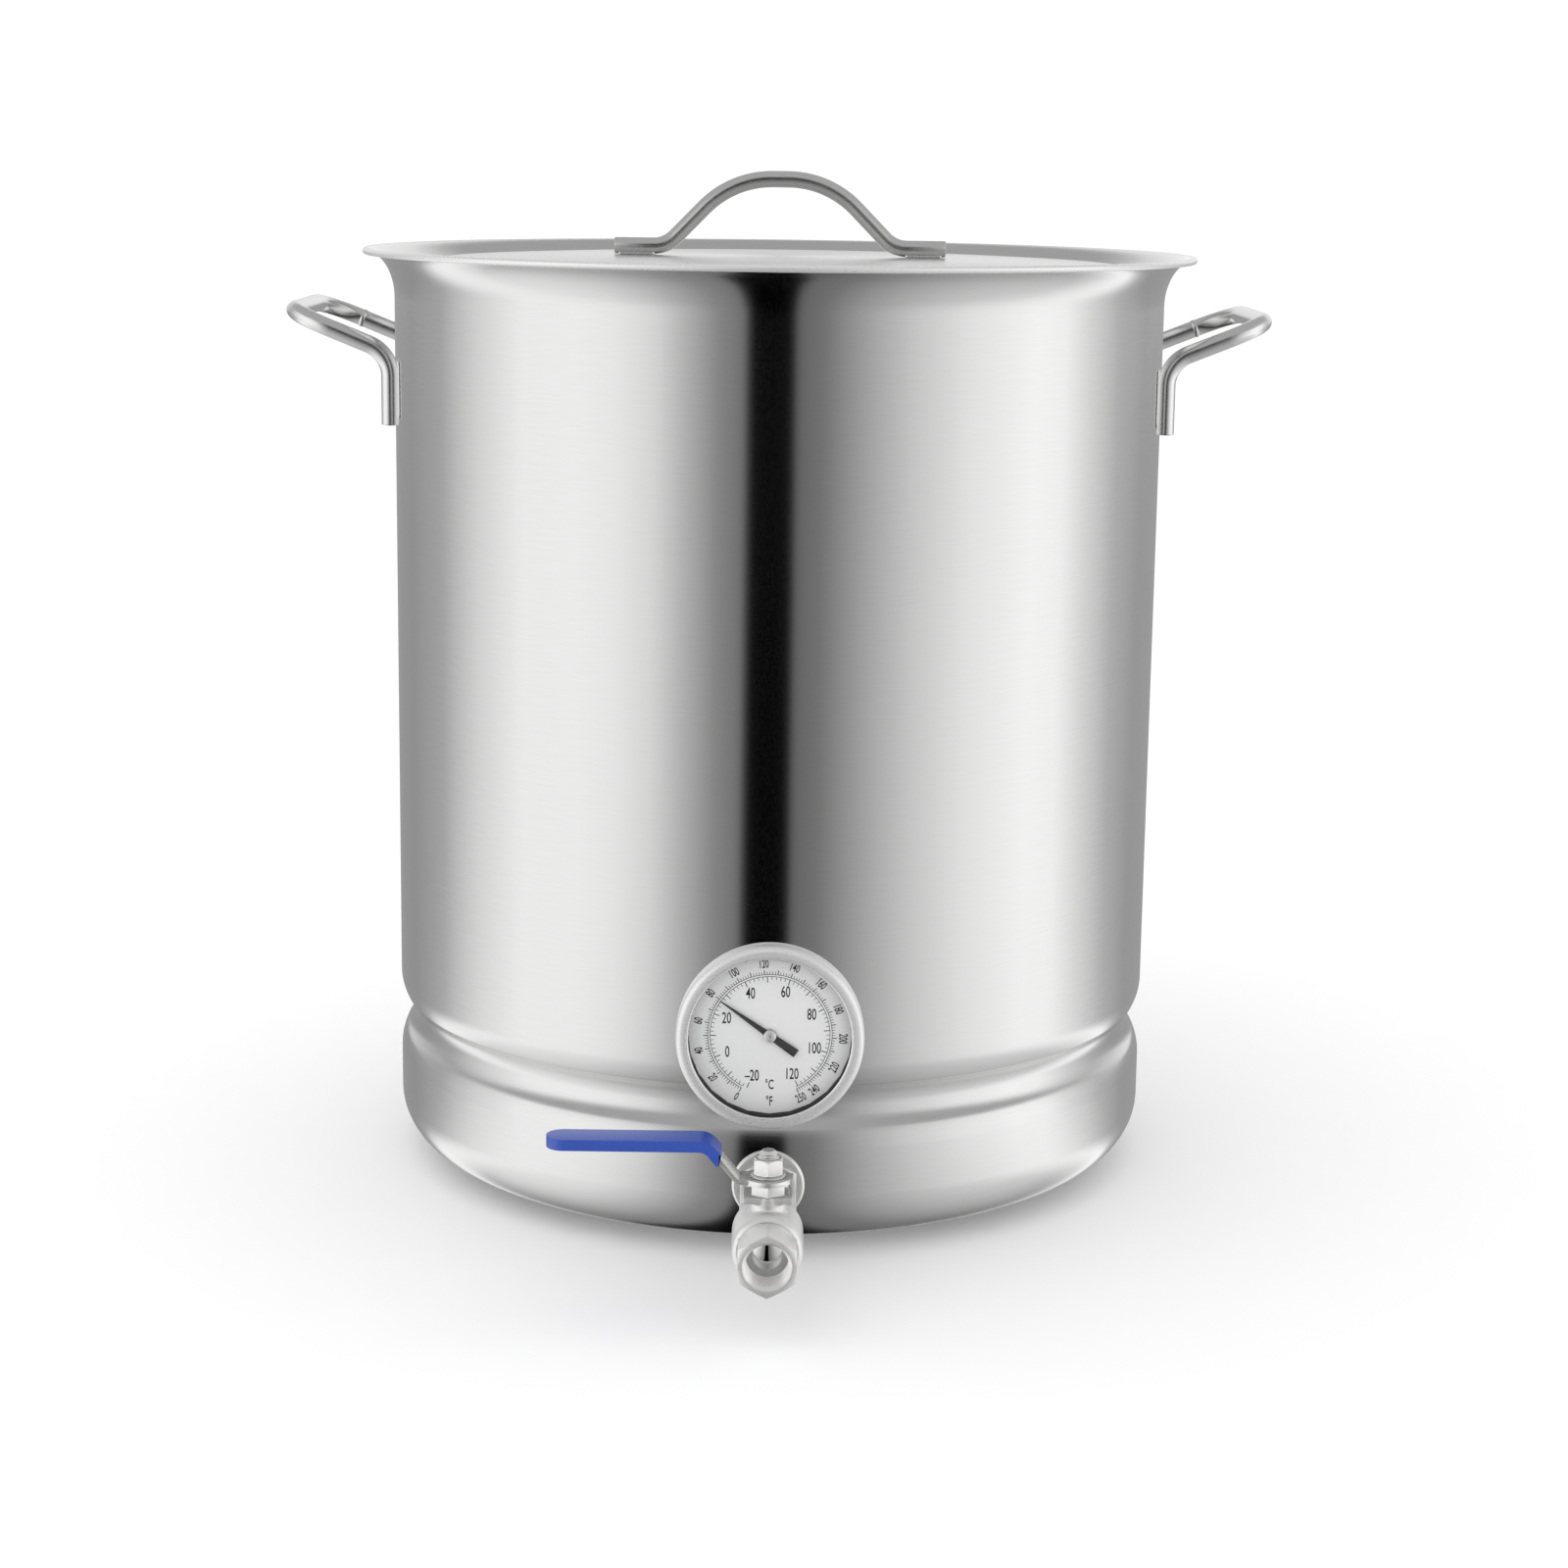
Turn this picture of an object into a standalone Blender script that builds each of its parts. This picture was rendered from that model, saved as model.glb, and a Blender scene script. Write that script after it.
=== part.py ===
"""Brew kettle with a lid, a dial thermometer and a ball valve: the working model.

Metres, +Z up. The kettle stands on z = 0 with its axis on Z, and the
thermometer and the valve face -Y. Every named piece is one closed solid.
"""

import math

import bmesh
import bpy
from mathutils import Matrix, Vector

GAP = 0.0003                       # left between pieces that touch
OVERLAP = 0.0010                   # how far shapes that join run into each other
PAST = 0.0020                      # how far a cutting shape runs past a face
EDGE = 0.0006                      # small chamfers
TURN_STEPS = 48                    # facets round the kettle
FITTING_STEPS = 24                 # facets round small turned pieces

# Kettle body
BODY_RADIUS = 0.200
BODY_HEIGHT = 0.480
WALL = 0.0012
CORNER_RADIUS = 0.028
FLARE_WIDTH = 0.0160
FLARE_HEIGHT = 0.024
HEM_RADIUS = 0.0016
BEAD_Z = 0.0768
BEAD_CHORD = 0.0204
BEAD_DEPTH = 0.0045
SHOULDER_DIP = 0.0028
SHOULDER_HEIGHT = 0.011

# Layered base
BASE_CORE_RADIUS = 0.155
BASE_CORE_THICKNESS = 0.004
BASE_CAP_THICKNESS = 0.0006

# Lid and its handle
LID_THICKNESS = 0.0010
LID_SEAT_DROP = 0.0078             # lid edge below the rim
LID_CROWN_DROP = 0.0028            # lid middle below the rim
LID_FLAT_RADIUS = 0.095
LID_STEP_RADIUS = 0.176
LID_STEP_HEIGHT = 0.0025
LID_STEP_WIDTH = 0.006
LID_ROD_RADIUS = 0.0043
LID_HANDLE_LENGTH = 0.1726
LID_HANDLE_RISE = 0.0349
LID_HANDLE_FOOT = 0.0594           # where a foot turns up, from the middle
LID_HANDLE_SLOPE = math.radians(45.5)
LID_HANDLE_CROWN_BEND = 0.050
LID_HANDLE_FOOT_BEND = 0.016

# Side handles
HANDLE_ROD_RADIUS = 0.0046
HANDLE_LEG_SPACING = 0.112
HANDLE_LEG_BOTTOM_DROP = 0.0885    # leg end below the rim
HANDLE_BEND_DROP = 0.052           # leg and arm meet, below the rim
HANDLE_REACH = 0.0478              # grip bar's centre outside the body
HANDLE_ARM_ANGLE = math.radians(21.8)
HANDLE_LEG_BEND = 0.017
HANDLE_GRIP_BEND = 0.022

# False bottom
FALSE_BOTTOM_RADIUS = 0.1955
FALSE_BOTTOM_THICKNESS = 0.0015
FALSE_BOTTOM_RINGS = 5
FALSE_BOTTOM_RING_PITCH = 0.032
FALSE_BOTTOM_HOLE_RADIUS = 0.003

# Pipe fittings: the thread that goes through the wall, for both fittings
THREAD_RADIUS = 0.0102
SEAL_THICKNESS = 0.0015
SEAL_RADIUS = 0.0150
LOCKNUT_FLATS = 0.0270
LOCKNUT_THICKNESS = 0.0080
WALL_HOLE_REACH = 0.012            # cut this far to both sides of the wall

# Ball valve
VALVE_Z = 0.040
STEM_STAND_OFF = 0.078             # stem axis in front of the wall
OUTLET_LENGTH = 0.036
INLET_LENGTH = 0.027
BALL_RADIUS = 0.0120
VALVE_BODY_WALL = 0.0045           # round body outside the ball
VALVE_BODY_RADIUS = BALL_RADIUS + VALVE_BODY_WALL
VALVE_HEX_FLATS = 0.0266
VALVE_HEX_LENGTH = 0.0160
VALVE_THREAD_RADIUS = THREAD_RADIUS + GAP
PORT_RADIUS = 0.0068
INLET_HEX_LENGTH = 0.0125
VALVE_BACK = 0.0090                # the round body starts this far in front of the inlet
VALVE_BACK_RADIUS = 0.0115
VALVE_BACK_SLOPE = 0.0065
VALVE_ROUND = 0.0035
OUTLET_THREAD_DEPTH = 0.0155
MOUTH_CHAMFER = 0.0012
BORE_LEDGE = 0.0022                # between the inlet thread and the ball's chamber
SEAT_CLEARANCE = 0.0005
SEAT_LIP_RADIUS = BALL_RADIUS - 0.0016
CAP_SPIGOT_LENGTH = 0.0040
SPIGOT_MARGIN = 0.0018             # spigot outside the ball
CAP_SPIGOT_RADIUS = BALL_RADIUS + SPIGOT_MARGIN
CAP_COLLAR_RADIUS = CAP_SPIGOT_RADIUS + 0.0001
CAP_COLLAR_LENGTH = 0.0035
NIPPLE_BORE_RADIUS = 0.0070
NIPPLE_INNER_LENGTH = 0.018        # reach inside the kettle's wall
NIPPLE_CLEARANCE = 0.0012          # nipple's end to the ledge in the valve
FLANGE_RADIUS = 0.0176
FLANGE_THICKNESS = 0.0030
FLANGE_HEX_LENGTH = 0.0050

# Valve stem, packing and lever, as heights above the valve's axis
STEM_RADIUS = 0.0040
STEM_SHOULDER_RADIUS = 0.0052
STEM_SHOULDER_HEIGHT = 0.0016
STEM_CLEARANCE = 0.0004            # shoulder above the ball
STEM_BORE_START = 0.0060
TANG_DEPTH = 0.0036
TANG_LENGTH = 0.0076
TANG_WIDTH = 0.0026
WASHER_THICKNESS = 0.0006
NECK_RADIUS = 0.0088
NECK_HEIGHT = 0.0105               # neck above the ball
NECK_TOP = BALL_RADIUS + NECK_HEIGHT
NECK_ROOT = 0.0080
PAD_WIDTH = 0.0230
PAD_DEPTH = 0.0166
PAD_THICKNESS = 0.0030
PACKING_RADIUS = 0.0063
PACKING_HEIGHT = 0.0032
PACKING_SINK = 0.0010              # packing's seat goes this much deeper
GLAND_FLATS = 0.0150
GLAND_ROOM = 0.0070                # lever above the neck
LEVER_Z = NECK_TOP + GLAND_ROOM
LEVER_THICKNESS = 0.0022
LEVER_WIDTH = 0.0220
LEVER_STRIP_WIDTH = 0.0130
LEVER_STRIP_START = 0.0100         # strip leaves the hub here
LEVER_EDGE = 0.0004
LEVER_LOWER_BEND = 0.0040
LEVER_UPPER_BEND = 0.0080
LEVER_LENGTH = 0.0985
LEVER_RISE = 0.0170
LEVER_BEND_X = 0.0140
LEVER_SLOPE = math.radians(51.0)
LEVER_TAB_X = 0.0115
LEVER_TAB_DROP = 0.0050
LEVER_TAB_WIDTH = 0.0080
GRIP_WIDTH = 0.0160
GRIP_THICKNESS = 0.0052
GRIP_START = 0.0225
GRIP_END_WALL = 0.0030
GRIP_EDGE = 0.0014
SPRING_WASHER_RADIUS = 0.0080
SPRING_WASHER_THICKNESS = 0.0008
NUT_FLATS = 0.0130
NUT_HEIGHT = 0.0075
STEM_END = 0.0035                  # stem thread seen above the nut

# Thermometer, along its axis out from the kettle's wall
DIAL_Z = 0.126
DIAL_FACE = 0.0478                 # bezel's front face in front of the wall
CASE_RADIUS = 0.0415
BEZEL_WALL = 0.0025                # bezel outside the case
BEZEL_RADIUS = CASE_RADIUS + BEZEL_WALL
BEZEL_DEPTH = 0.0118
BEZEL_LIP = 0.0012
BEZEL_ROUND = 0.0022
BEZEL_COVER = 0.0035               # bezel over the case and the lens
BEZEL_OPENING_RADIUS = CASE_RADIUS - BEZEL_COVER
CASE_DEPTH = 0.0157
CASE_WALL = 0.0012
CASE_CORNER = 0.0020
LENS_THICKNESS = 0.0022
LENS_RADIUS = CASE_RADIUS - GAP
LENS_GASKET_THICKNESS = 0.0042     # also the spacer that the dial shows as a dark ring
LENS_GASKET_WIDTH = 0.0018
DIAL_RECESS = 0.0050               # dial plate behind the lens
DIAL_THICKNESS = 0.0007
POINTER_LENGTH = 0.0285
POINTER_TAIL = 0.0150
POINTER_THICKNESS = 0.0005
POINTER_TAIL_WIDTH = 0.0042
POINTER_TIP_WIDTH = 0.0006
POINTER_STAND_OFF = 0.0014         # pointer in front of the dial
POINTER_ANGLE = math.radians(55.0)  # left of upright at 80 degrees F
HUB_RADIUS = 0.0029
HUB_HEIGHT = 0.0020
HUB_SHANK_DROP = 0.0004            # hub's shank below the pointer
SHAFT_RADIUS = 0.0006
PROBE_RADIUS = 0.0032
PROBE_WALL = 0.0006
PROBE_END_WALL = 0.0015
PROBE_TIP_CHAMFER = 0.0010
PROBE_LIP = 0.0010                 # probe's end inside the case
PROBE_REACH = 0.060                # probe tip inside the kettle's wall
FITTING_FLATS = 0.0254
FITTING_HEX_LENGTH = 0.0080
FITTING_NECK_RADIUS = 0.0085
FITTING_END_MARGIN = 0.0040        # thread beyond the locknut
SHAFT_START = 0.0040               # shaft's end from the probe's tip
COIL_START = 0.0025                # coil's end from the probe's tip
COIL_TURNS = 8
COIL_RADIUS = 0.0018
COIL_WIRE_RADIUS = 0.0003
COIL_LENGTH = 0.044

STEEL = (0.62, 0.62, 0.61)
POLISHED = (0.74, 0.74, 0.73)


# Derived places

SHELL_BOTTOM = BASE_CAP_THICKNESS + BASE_CORE_THICKNESS + 2 * GAP
INNER_RADIUS = BODY_RADIUS - WALL
STEM_SHOULDER_LOW = BALL_RADIUS + STEM_CLEARANCE
VALVE_TOP_RECESS = STEM_SHOULDER_LOW + STEM_SHOULDER_HEIGHT + WASHER_THICKNESS + 2 * GAP
SEAT_BACK = BALL_RADIUS + SEAT_CLEARANCE
CAVITY_RADIUS = BALL_RADIUS + 2 * GAP
SEAL_OUTER_FACE = BODY_RADIUS + GAP
SEAL_OUTER_END = SEAL_OUTER_FACE + SEAL_THICKNESS
STEM_Y = BODY_RADIUS + STEM_STAND_OFF
BEZEL_FRONT = BODY_RADIUS + DIAL_FACE


# Modelling helpers

def clear_scene():
    """Remove every object that the new file starts with."""
    for item in list(bpy.data.objects):
        bpy.data.objects.remove(item, do_unlink=True)


def surface(name, color, roughness, metallic=1.0, alpha=1.0, transmission=0.0):
    """Return a Principled material."""
    material = bpy.data.materials.new(name)
    material.use_nodes = True
    shader = material.node_tree.nodes["Principled BSDF"]
    shader.inputs["Base Color"].default_value = (*color, 1.0)
    shader.inputs["Roughness"].default_value = roughness
    shader.inputs["Metallic"].default_value = metallic
    shader.inputs["Alpha"].default_value = alpha
    shader.inputs["Transmission Weight"].default_value = transmission
    return material


def add_object(name, data, material=None):
    """Link a new object that carries the given mesh or curve."""
    item = bpy.data.objects.new(name, data)
    bpy.context.scene.collection.objects.link(item)
    if material is not None:
        data.materials.append(material)
    return item


def finish_mesh(name, bm, material=None, smooth=True):
    """Turn a bmesh into an object with outward normals."""
    bmesh.ops.recalc_face_normals(bm, faces=bm.faces)
    mesh = bpy.data.meshes.new(name)
    bm.to_mesh(mesh)
    bm.free()
    if smooth:
        mesh.shade_smooth()
        mesh.set_sharp_from_angle(angle=math.radians(35))
    return add_object(name, mesh, material)


def turned(name, outline, material=None, steps=FITTING_STEPS):
    """Spin a closed (radius, height) outline about the local Z axis."""
    bm = bmesh.new()
    points = [bm.verts.new((radius, 0.0, height)) for radius, height in outline]
    edges = []
    for index, point in enumerate(points):
        following = points[(index + 1) % len(points)]
        if point.co.x > 1e-9 or following.co.x > 1e-9:
            edges.append(bm.edges.new((point, following)))
    bmesh.ops.spin(bm, geom=points + edges, cent=(0, 0, 0), axis=(0, 0, 1),
                   angle=math.tau, steps=steps, use_merge=True)
    bmesh.ops.remove_doubles(bm, verts=bm.verts, dist=1e-6)
    return finish_mesh(name, bm, material)


def ring(inner, outer, low, high):
    """Return the outline of a plain ring."""
    return [(inner, low), (outer, low), (outer, high), (inner, high)]


def prism(name, flats, low, high, material=None, sides=6):
    """Return a prism along local Z, given its width across flats."""
    bm = bmesh.new()
    radius = flats / 2 / math.cos(math.pi / sides)
    place = Matrix.Translation((0, 0, (low + high) / 2))
    bmesh.ops.create_cone(bm, cap_ends=True, segments=sides, radius1=radius,
                          radius2=radius, depth=high - low, matrix=place)
    return finish_mesh(name, bm, material, smooth=False)


def block(name, low, high, material=None):
    """Return a box between two corners."""
    bm = bmesh.new()
    low, high = Vector(low), Vector(high)
    size = high - low
    place = Matrix.Translation((low + high) / 2) @ Matrix.Diagonal((*size, 1.0))
    bmesh.ops.create_cube(bm, size=1.0, matrix=place)
    return finish_mesh(name, bm, material, smooth=False)


def chamfer_cone(name, flats, face):
    """Return a cone that trims a hexagon's corners near its upper face."""
    radius = flats / 2 + GAP
    reach = flats / 6
    wide = radius + reach * math.tan(math.radians(60))
    outline = [(0.0, face), (radius, face), (wide, face - reach), (wide, face - 2 * flats),
               (0.0, face - 2 * flats)]
    return turned(name, outline, steps=2 * FITTING_STEPS)


def use_as_tool(tool, parent_object):
    """Hide an operand of a Boolean, so that it is no piece of the model."""
    tool.hide_render = True
    tool.display_type = "WIRE"
    tool.parent = parent_object


def combine(target, tool, operation):
    """Add an exact Boolean modifier whose operand shares the target's frame."""
    use_as_tool(tool, target)
    modifier = target.modifiers.new(f"{operation.lower()}_{tool.name}", "BOOLEAN")
    modifier.operation = operation
    modifier.solver = "EXACT"
    modifier.object = tool


def fillet_path(points, bends, steps=6):
    """Return the points of a path whose inner corners are rounded.

    bends holds one radius for each inner corner.
    """
    points = [Vector(point) for point in points]
    path = [points[0]]
    for before, corner, after, bend in zip(points, points[1:], points[2:], bends):
        arriving = (corner - before).normalized()
        leaving = (after - corner).normalized()
        turning = arriving.angle(leaving)
        tangent = bend * math.tan(turning / 2)
        start = corner - arriving * tangent
        towards = (leaving - arriving).normalized()
        centre = corner + towards * (bend / math.cos(turning / 2))
        normal = arriving.cross(leaving).normalized()
        for step in range(steps + 1):
            turn = Matrix.Rotation(turning * step / steps, 3, normal)
            path.append(centre + turn @ (start - centre))
    path.append(points[-1])
    return path


def rod(name, path, radius, material, resolution=4):
    """Return a round bar along a path, with flat ends."""
    curve = bpy.data.curves.new(name, "CURVE")
    curve.dimensions = "3D"
    curve.bevel_depth = radius
    curve.bevel_resolution = resolution
    curve.use_fill_caps = True
    spline = curve.splines.new("POLY")
    spline.points.add(len(path) - 1)
    for point, place in zip(spline.points, path):
        point.co = (*place, 1.0)
        point.tilt = 0.0
    spline.use_smooth = True
    return add_object(name, curve, material)


def ribbon(name, path, half_widths, thickness, corner, material=None):
    """Loft a chamfered rectangle along a path in the XZ plane."""
    bm = bmesh.new()
    loops = []
    half = thickness / 2
    for index, (x, z) in enumerate(path):
        before = Vector(path[max(index - 1, 0)])
        after = Vector(path[min(index + 1, len(path) - 1)])
        arriving = (Vector((x, z)) - before).normalized()
        leaving = (after - Vector((x, z))).normalized()
        tangent = (arriving + leaving).normalized()
        stretch = 1.0
        if arriving.length > 0 and leaving.length > 0:
            stretch = 1.0 / max(0.5, tangent.dot(leaving))
        normal = Vector((-tangent.y, tangent.x)) * stretch
        width = half_widths[index]
        section = [(-width, -half + corner), (-width + corner, -half), (width - corner, -half),
                   (width, -half + corner), (width, half - corner), (width - corner, half),
                   (-width + corner, half), (-width, half - corner)]
        loops.append([bm.verts.new((x + normal.x * up, side, z + normal.y * up))
                      for side, up in section])
    edges = []
    for loop in loops:
        edges.append([bm.edges.new((a, b)) for a, b in zip(loop, loop[1:] + loop[:1])])
    for first, second in zip(edges, edges[1:]):
        bmesh.ops.bridge_loops(bm, edges=first + second)
    for loop in (loops[0], loops[-1]):
        bmesh.ops.contextual_create(bm, geom=loop)
    return finish_mesh(name, bm, material)


def facing_front(item, height):
    """Turn local +Z to world -Y, at the given height on the kettle's axis."""
    item.location = (0.0, 0.0, height)
    item.rotation_euler = (math.pi / 2, 0.0, 0.0)
    return item


def on_stem(item):
    """Put a piece's origin where the stem axis crosses the valve's axis."""
    item.location = (0.0, -STEM_Y, VALVE_Z)
    return item


# Turned profiles

def offset_path(path, distance):
    """Return a path moved to its inner side by a distance."""
    moved = []
    for index, point in enumerate(path):
        here = Vector(point)
        before = Vector(path[max(index - 1, 0)])
        after = Vector(path[min(index + 1, len(path) - 1)])
        directions = [d.normalized() for d in (here - before, after - here) if d.length > 0]
        normals = [Vector((d.y, -d.x)) for d in directions]
        mean = sum(normals, Vector((0.0, 0.0))).normalized()
        moved.append(tuple(here + mean * (distance / mean.dot(normals[0]))))
    return moved


def radius_at(path, height):
    """Return the radius where a path first crosses a height, from its top."""
    for (r1, z1), (r2, z2) in zip(path, path[1:]):
        if z1 >= height >= z2 and z1 > z2:
            return r1 + (r2 - r1) * (z1 - height) / (z1 - z2)
    raise ValueError("the path does not reach that height")


def seal_inner_end(path, height):
    """Return how far out the inner end of a flat seal lies, on the curved wall inside."""
    faces = []
    for step in range(24):
        angle = math.tau * step / 24
        radius = radius_at(path, height + SEAL_RADIUS * math.sin(angle))
        faces.append(math.sqrt(radius**2 - (SEAL_RADIUS * math.cos(angle))**2))
    return min(faces) - 2 * GAP - SEAL_THICKNESS


def ledge_height(path, radius):
    """Return the height where a path first comes in to a radius below its flare."""
    for (r1, z1), (r2, z2) in zip(path, path[1:]):
        if r1 > radius >= r2 and z1 < BODY_HEIGHT / 2:
            return z1 + (z2 - z1) * (r1 - radius) / (r1 - r2)
    raise ValueError("the path does not come in to that radius")


def shell_outer_path():
    """Return the kettle's outer profile, from below the rim to the middle of the base."""
    path = []
    flare_steps = 6
    for step in range(flare_steps + 1):
        angle = math.radians(78) * (1 - step / flare_steps)
        path.append((BODY_RADIUS + FLARE_WIDTH * (1 - math.cos(angle)),
                     BODY_HEIGHT - WALL - FLARE_HEIGHT * (1 - math.sin(angle))))
    edge = BEAD_CHORD / 2
    dip_steps = 3
    for step in range(dip_steps):
        share = step / dip_steps
        path.append((BODY_RADIUS - SHOULDER_DIP * share**2,
                     BEAD_Z + edge + SHOULDER_HEIGHT * (1 - share)))
    arc_radius = BEAD_CHORD**2 / (8 * BEAD_DEPTH) + BEAD_DEPTH / 2
    half_angle = math.asin(edge / arc_radius)
    arc_steps = 6
    for step in range(arc_steps + 1):
        angle = half_angle * (1 - 2 * step / arc_steps)
        depth = SHOULDER_DIP + arc_radius * math.cos(angle) - (arc_radius - BEAD_DEPTH)
        path.append((BODY_RADIUS - depth, BEAD_Z + arc_radius * math.sin(angle)))
    for step in range(dip_steps - 1, -1, -1):
        share = step / dip_steps
        path.append((BODY_RADIUS - SHOULDER_DIP * share**2,
                     BEAD_Z - edge - SHOULDER_HEIGHT * (1 - share)))
    corner_steps = 6
    for step in range(corner_steps + 1):
        angle = math.pi / 2 * step / corner_steps
        path.append((BODY_RADIUS - CORNER_RADIUS * (1 - math.cos(angle)),
                     SHELL_BOTTOM + CORNER_RADIUS * (1 - math.sin(angle))))
    path.append((0.0, SHELL_BOTTOM))
    return path


def hem_outline():
    """Return the rolled edge, from its underside round to its top."""
    steps = 6
    centre = (BODY_RADIUS + FLARE_WIDTH - HEM_RADIUS, BODY_HEIGHT - HEM_RADIUS)
    start, end = math.radians(-120), math.radians(95)
    return [(centre[0] + HEM_RADIUS * math.cos(start + (end - start) * step / steps),
             centre[1] + HEM_RADIUS * math.sin(start + (end - start) * step / steps))
            for step in range(steps + 1)]


# Kettle

def kettle_shell(outer, inner):
    """Deep pot with a flared, hemmed rim, an inward bead and two holes in front."""
    outline = list(reversed(outer)) + hem_outline() + inner
    shell = turned("kettle_shell", outline, surface("kettle_shell", STEEL, 0.32), TURN_STEPS)
    for name, height in (("valve_hole", VALVE_Z), ("thermometer_hole", DIAL_Z)):
        start, end = INNER_RADIUS - WALL_HOLE_REACH, BODY_RADIUS + WALL_HOLE_REACH
        hole = turned(name, ring(0.0, THREAD_RADIUS + GAP, start, end))
        facing_front(hole, height)
        combine(shell, hole, "DIFFERENCE")
    return shell


def base():
    """Aluminium core under the pot, and the steel cap over it."""
    core_low = BASE_CAP_THICKNESS + GAP
    core_high = core_low + BASE_CORE_THICKNESS
    turned("base_core", [(0.0, core_low), (BASE_CORE_RADIUS, core_low),
                         (BASE_CORE_RADIUS, core_high), (0.0, core_high)],
           surface("base_core", (0.55, 0.56, 0.58), 0.45), TURN_STEPS)
    inner = BASE_CORE_RADIUS + 2 * GAP
    outer = inner + BASE_CAP_THICKNESS
    bevel = BASE_CAP_THICKNESS
    turned("base_cap", [(0.0, 0.0), (outer - bevel, 0.0), (outer, bevel), (outer, core_high),
                        (inner, core_high), (inner, BASE_CAP_THICKNESS),
                        (0.0, BASE_CAP_THICKNESS)],
           surface("base_cap", STEEL, 0.38), TURN_STEPS)


def side_handle(name, side):
    """Bent rod: two legs against the wall, two rising arms and a grip bar."""
    half = HANDLE_LEG_SPACING / 2
    leg_x = math.sqrt((BODY_RADIUS + HANDLE_ROD_RADIUS + GAP)**2 - half**2)
    bar_x = BODY_RADIUS + HANDLE_REACH
    bend_z = BODY_HEIGHT - HANDLE_BEND_DROP
    bar_z = bend_z + (bar_x - leg_x) * math.tan(HANDLE_ARM_ANGLE)
    leg_z = BODY_HEIGHT - HANDLE_LEG_BOTTOM_DROP
    points = [(side * leg_x, -half, leg_z), (side * leg_x, -half, bend_z),
              (side * bar_x, -half, bar_z), (side * bar_x, half, bar_z),
              (side * leg_x, half, bend_z), (side * leg_x, half, leg_z)]
    bends = [HANDLE_LEG_BEND, HANDLE_GRIP_BEND, HANDLE_GRIP_BEND, HANDLE_LEG_BEND]
    rod(name, fillet_path(points, bends), HANDLE_ROD_RADIUS, surface(name, POLISHED, 0.18))


def false_bottom(inner):
    """Perforated plate that lies on the inward bead."""
    low = ledge_height(inner, FALSE_BOTTOM_RADIUS + GAP) + GAP
    high = low + FALSE_BOTTOM_THICKNESS
    plate = turned("false_bottom", [(0.0, low), (FALSE_BOTTOM_RADIUS, low),
                                    (FALSE_BOTTOM_RADIUS, high), (0.0, high)],
                   surface("false_bottom", STEEL, 0.36), TURN_STEPS)
    bm = bmesh.new()
    for number in range(1, FALSE_BOTTOM_RINGS + 1):
        count = 6 * number
        for index in range(count):
            angle = math.tau * (index + 0.5 * (number % 2)) / count
            place = Matrix.Translation((number * FALSE_BOTTOM_RING_PITCH * math.cos(angle),
                                        number * FALSE_BOTTOM_RING_PITCH * math.sin(angle),
                                        (low + high) / 2))
            bmesh.ops.create_cone(bm, cap_ends=True, segments=6,
                                  radius1=FALSE_BOTTOM_HOLE_RADIUS,
                                  radius2=FALSE_BOTTOM_HOLE_RADIUS,
                                  depth=3 * FALSE_BOTTOM_THICKNESS, matrix=place)
    combine(plate, finish_mesh("drain_holes", bm, smooth=False), "DIFFERENCE")


# Lid

def lid(inner):
    """Shallow stepped lid that drops into the flare, and its arched rod handle."""
    edge_z = BODY_HEIGHT - LID_SEAT_DROP
    crown_z = BODY_HEIGHT - LID_CROWN_DROP
    edge_radius = radius_at(inner, edge_z - LID_THICKNESS) - 2 * GAP
    step_top = edge_z + LID_STEP_HEIGHT
    top = [(edge_radius, edge_z), (LID_STEP_RADIUS + LID_STEP_WIDTH, edge_z),
           (LID_STEP_RADIUS + LID_STEP_WIDTH * 0.6, edge_z + LID_STEP_HEIGHT * 0.25),
           (LID_STEP_RADIUS + LID_STEP_WIDTH * 0.3, edge_z + LID_STEP_HEIGHT * 0.8),
           (LID_STEP_RADIUS, step_top), (LID_FLAT_RADIUS, crown_z), (0.0, crown_z)]
    under = [(radius, height - LID_THICKNESS) for radius, height in top]
    turned("lid_panel", top + list(reversed(under)),
           surface("lid_panel", STEEL, 0.25), TURN_STEPS)
    foot_z = crown_z + GAP + LID_ROD_RADIUS
    top_z = foot_z + LID_HANDLE_RISE
    end_x = LID_HANDLE_LENGTH / 2
    crown_x = LID_HANDLE_FOOT - LID_HANDLE_RISE / math.tan(LID_HANDLE_SLOPE)
    points = [(-end_x, 0, foot_z), (-LID_HANDLE_FOOT, 0, foot_z), (-crown_x, 0, top_z),
              (crown_x, 0, top_z), (LID_HANDLE_FOOT, 0, foot_z), (end_x, 0, foot_z)]
    bends = [LID_HANDLE_FOOT_BEND, LID_HANDLE_CROWN_BEND,
             LID_HANDLE_CROWN_BEND, LID_HANDLE_FOOT_BEND]
    rod("lid_handle", fillet_path(points, bends), LID_ROD_RADIUS,
        surface("lid_handle", POLISHED, 0.2))


# Fittings through the wall

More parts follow.
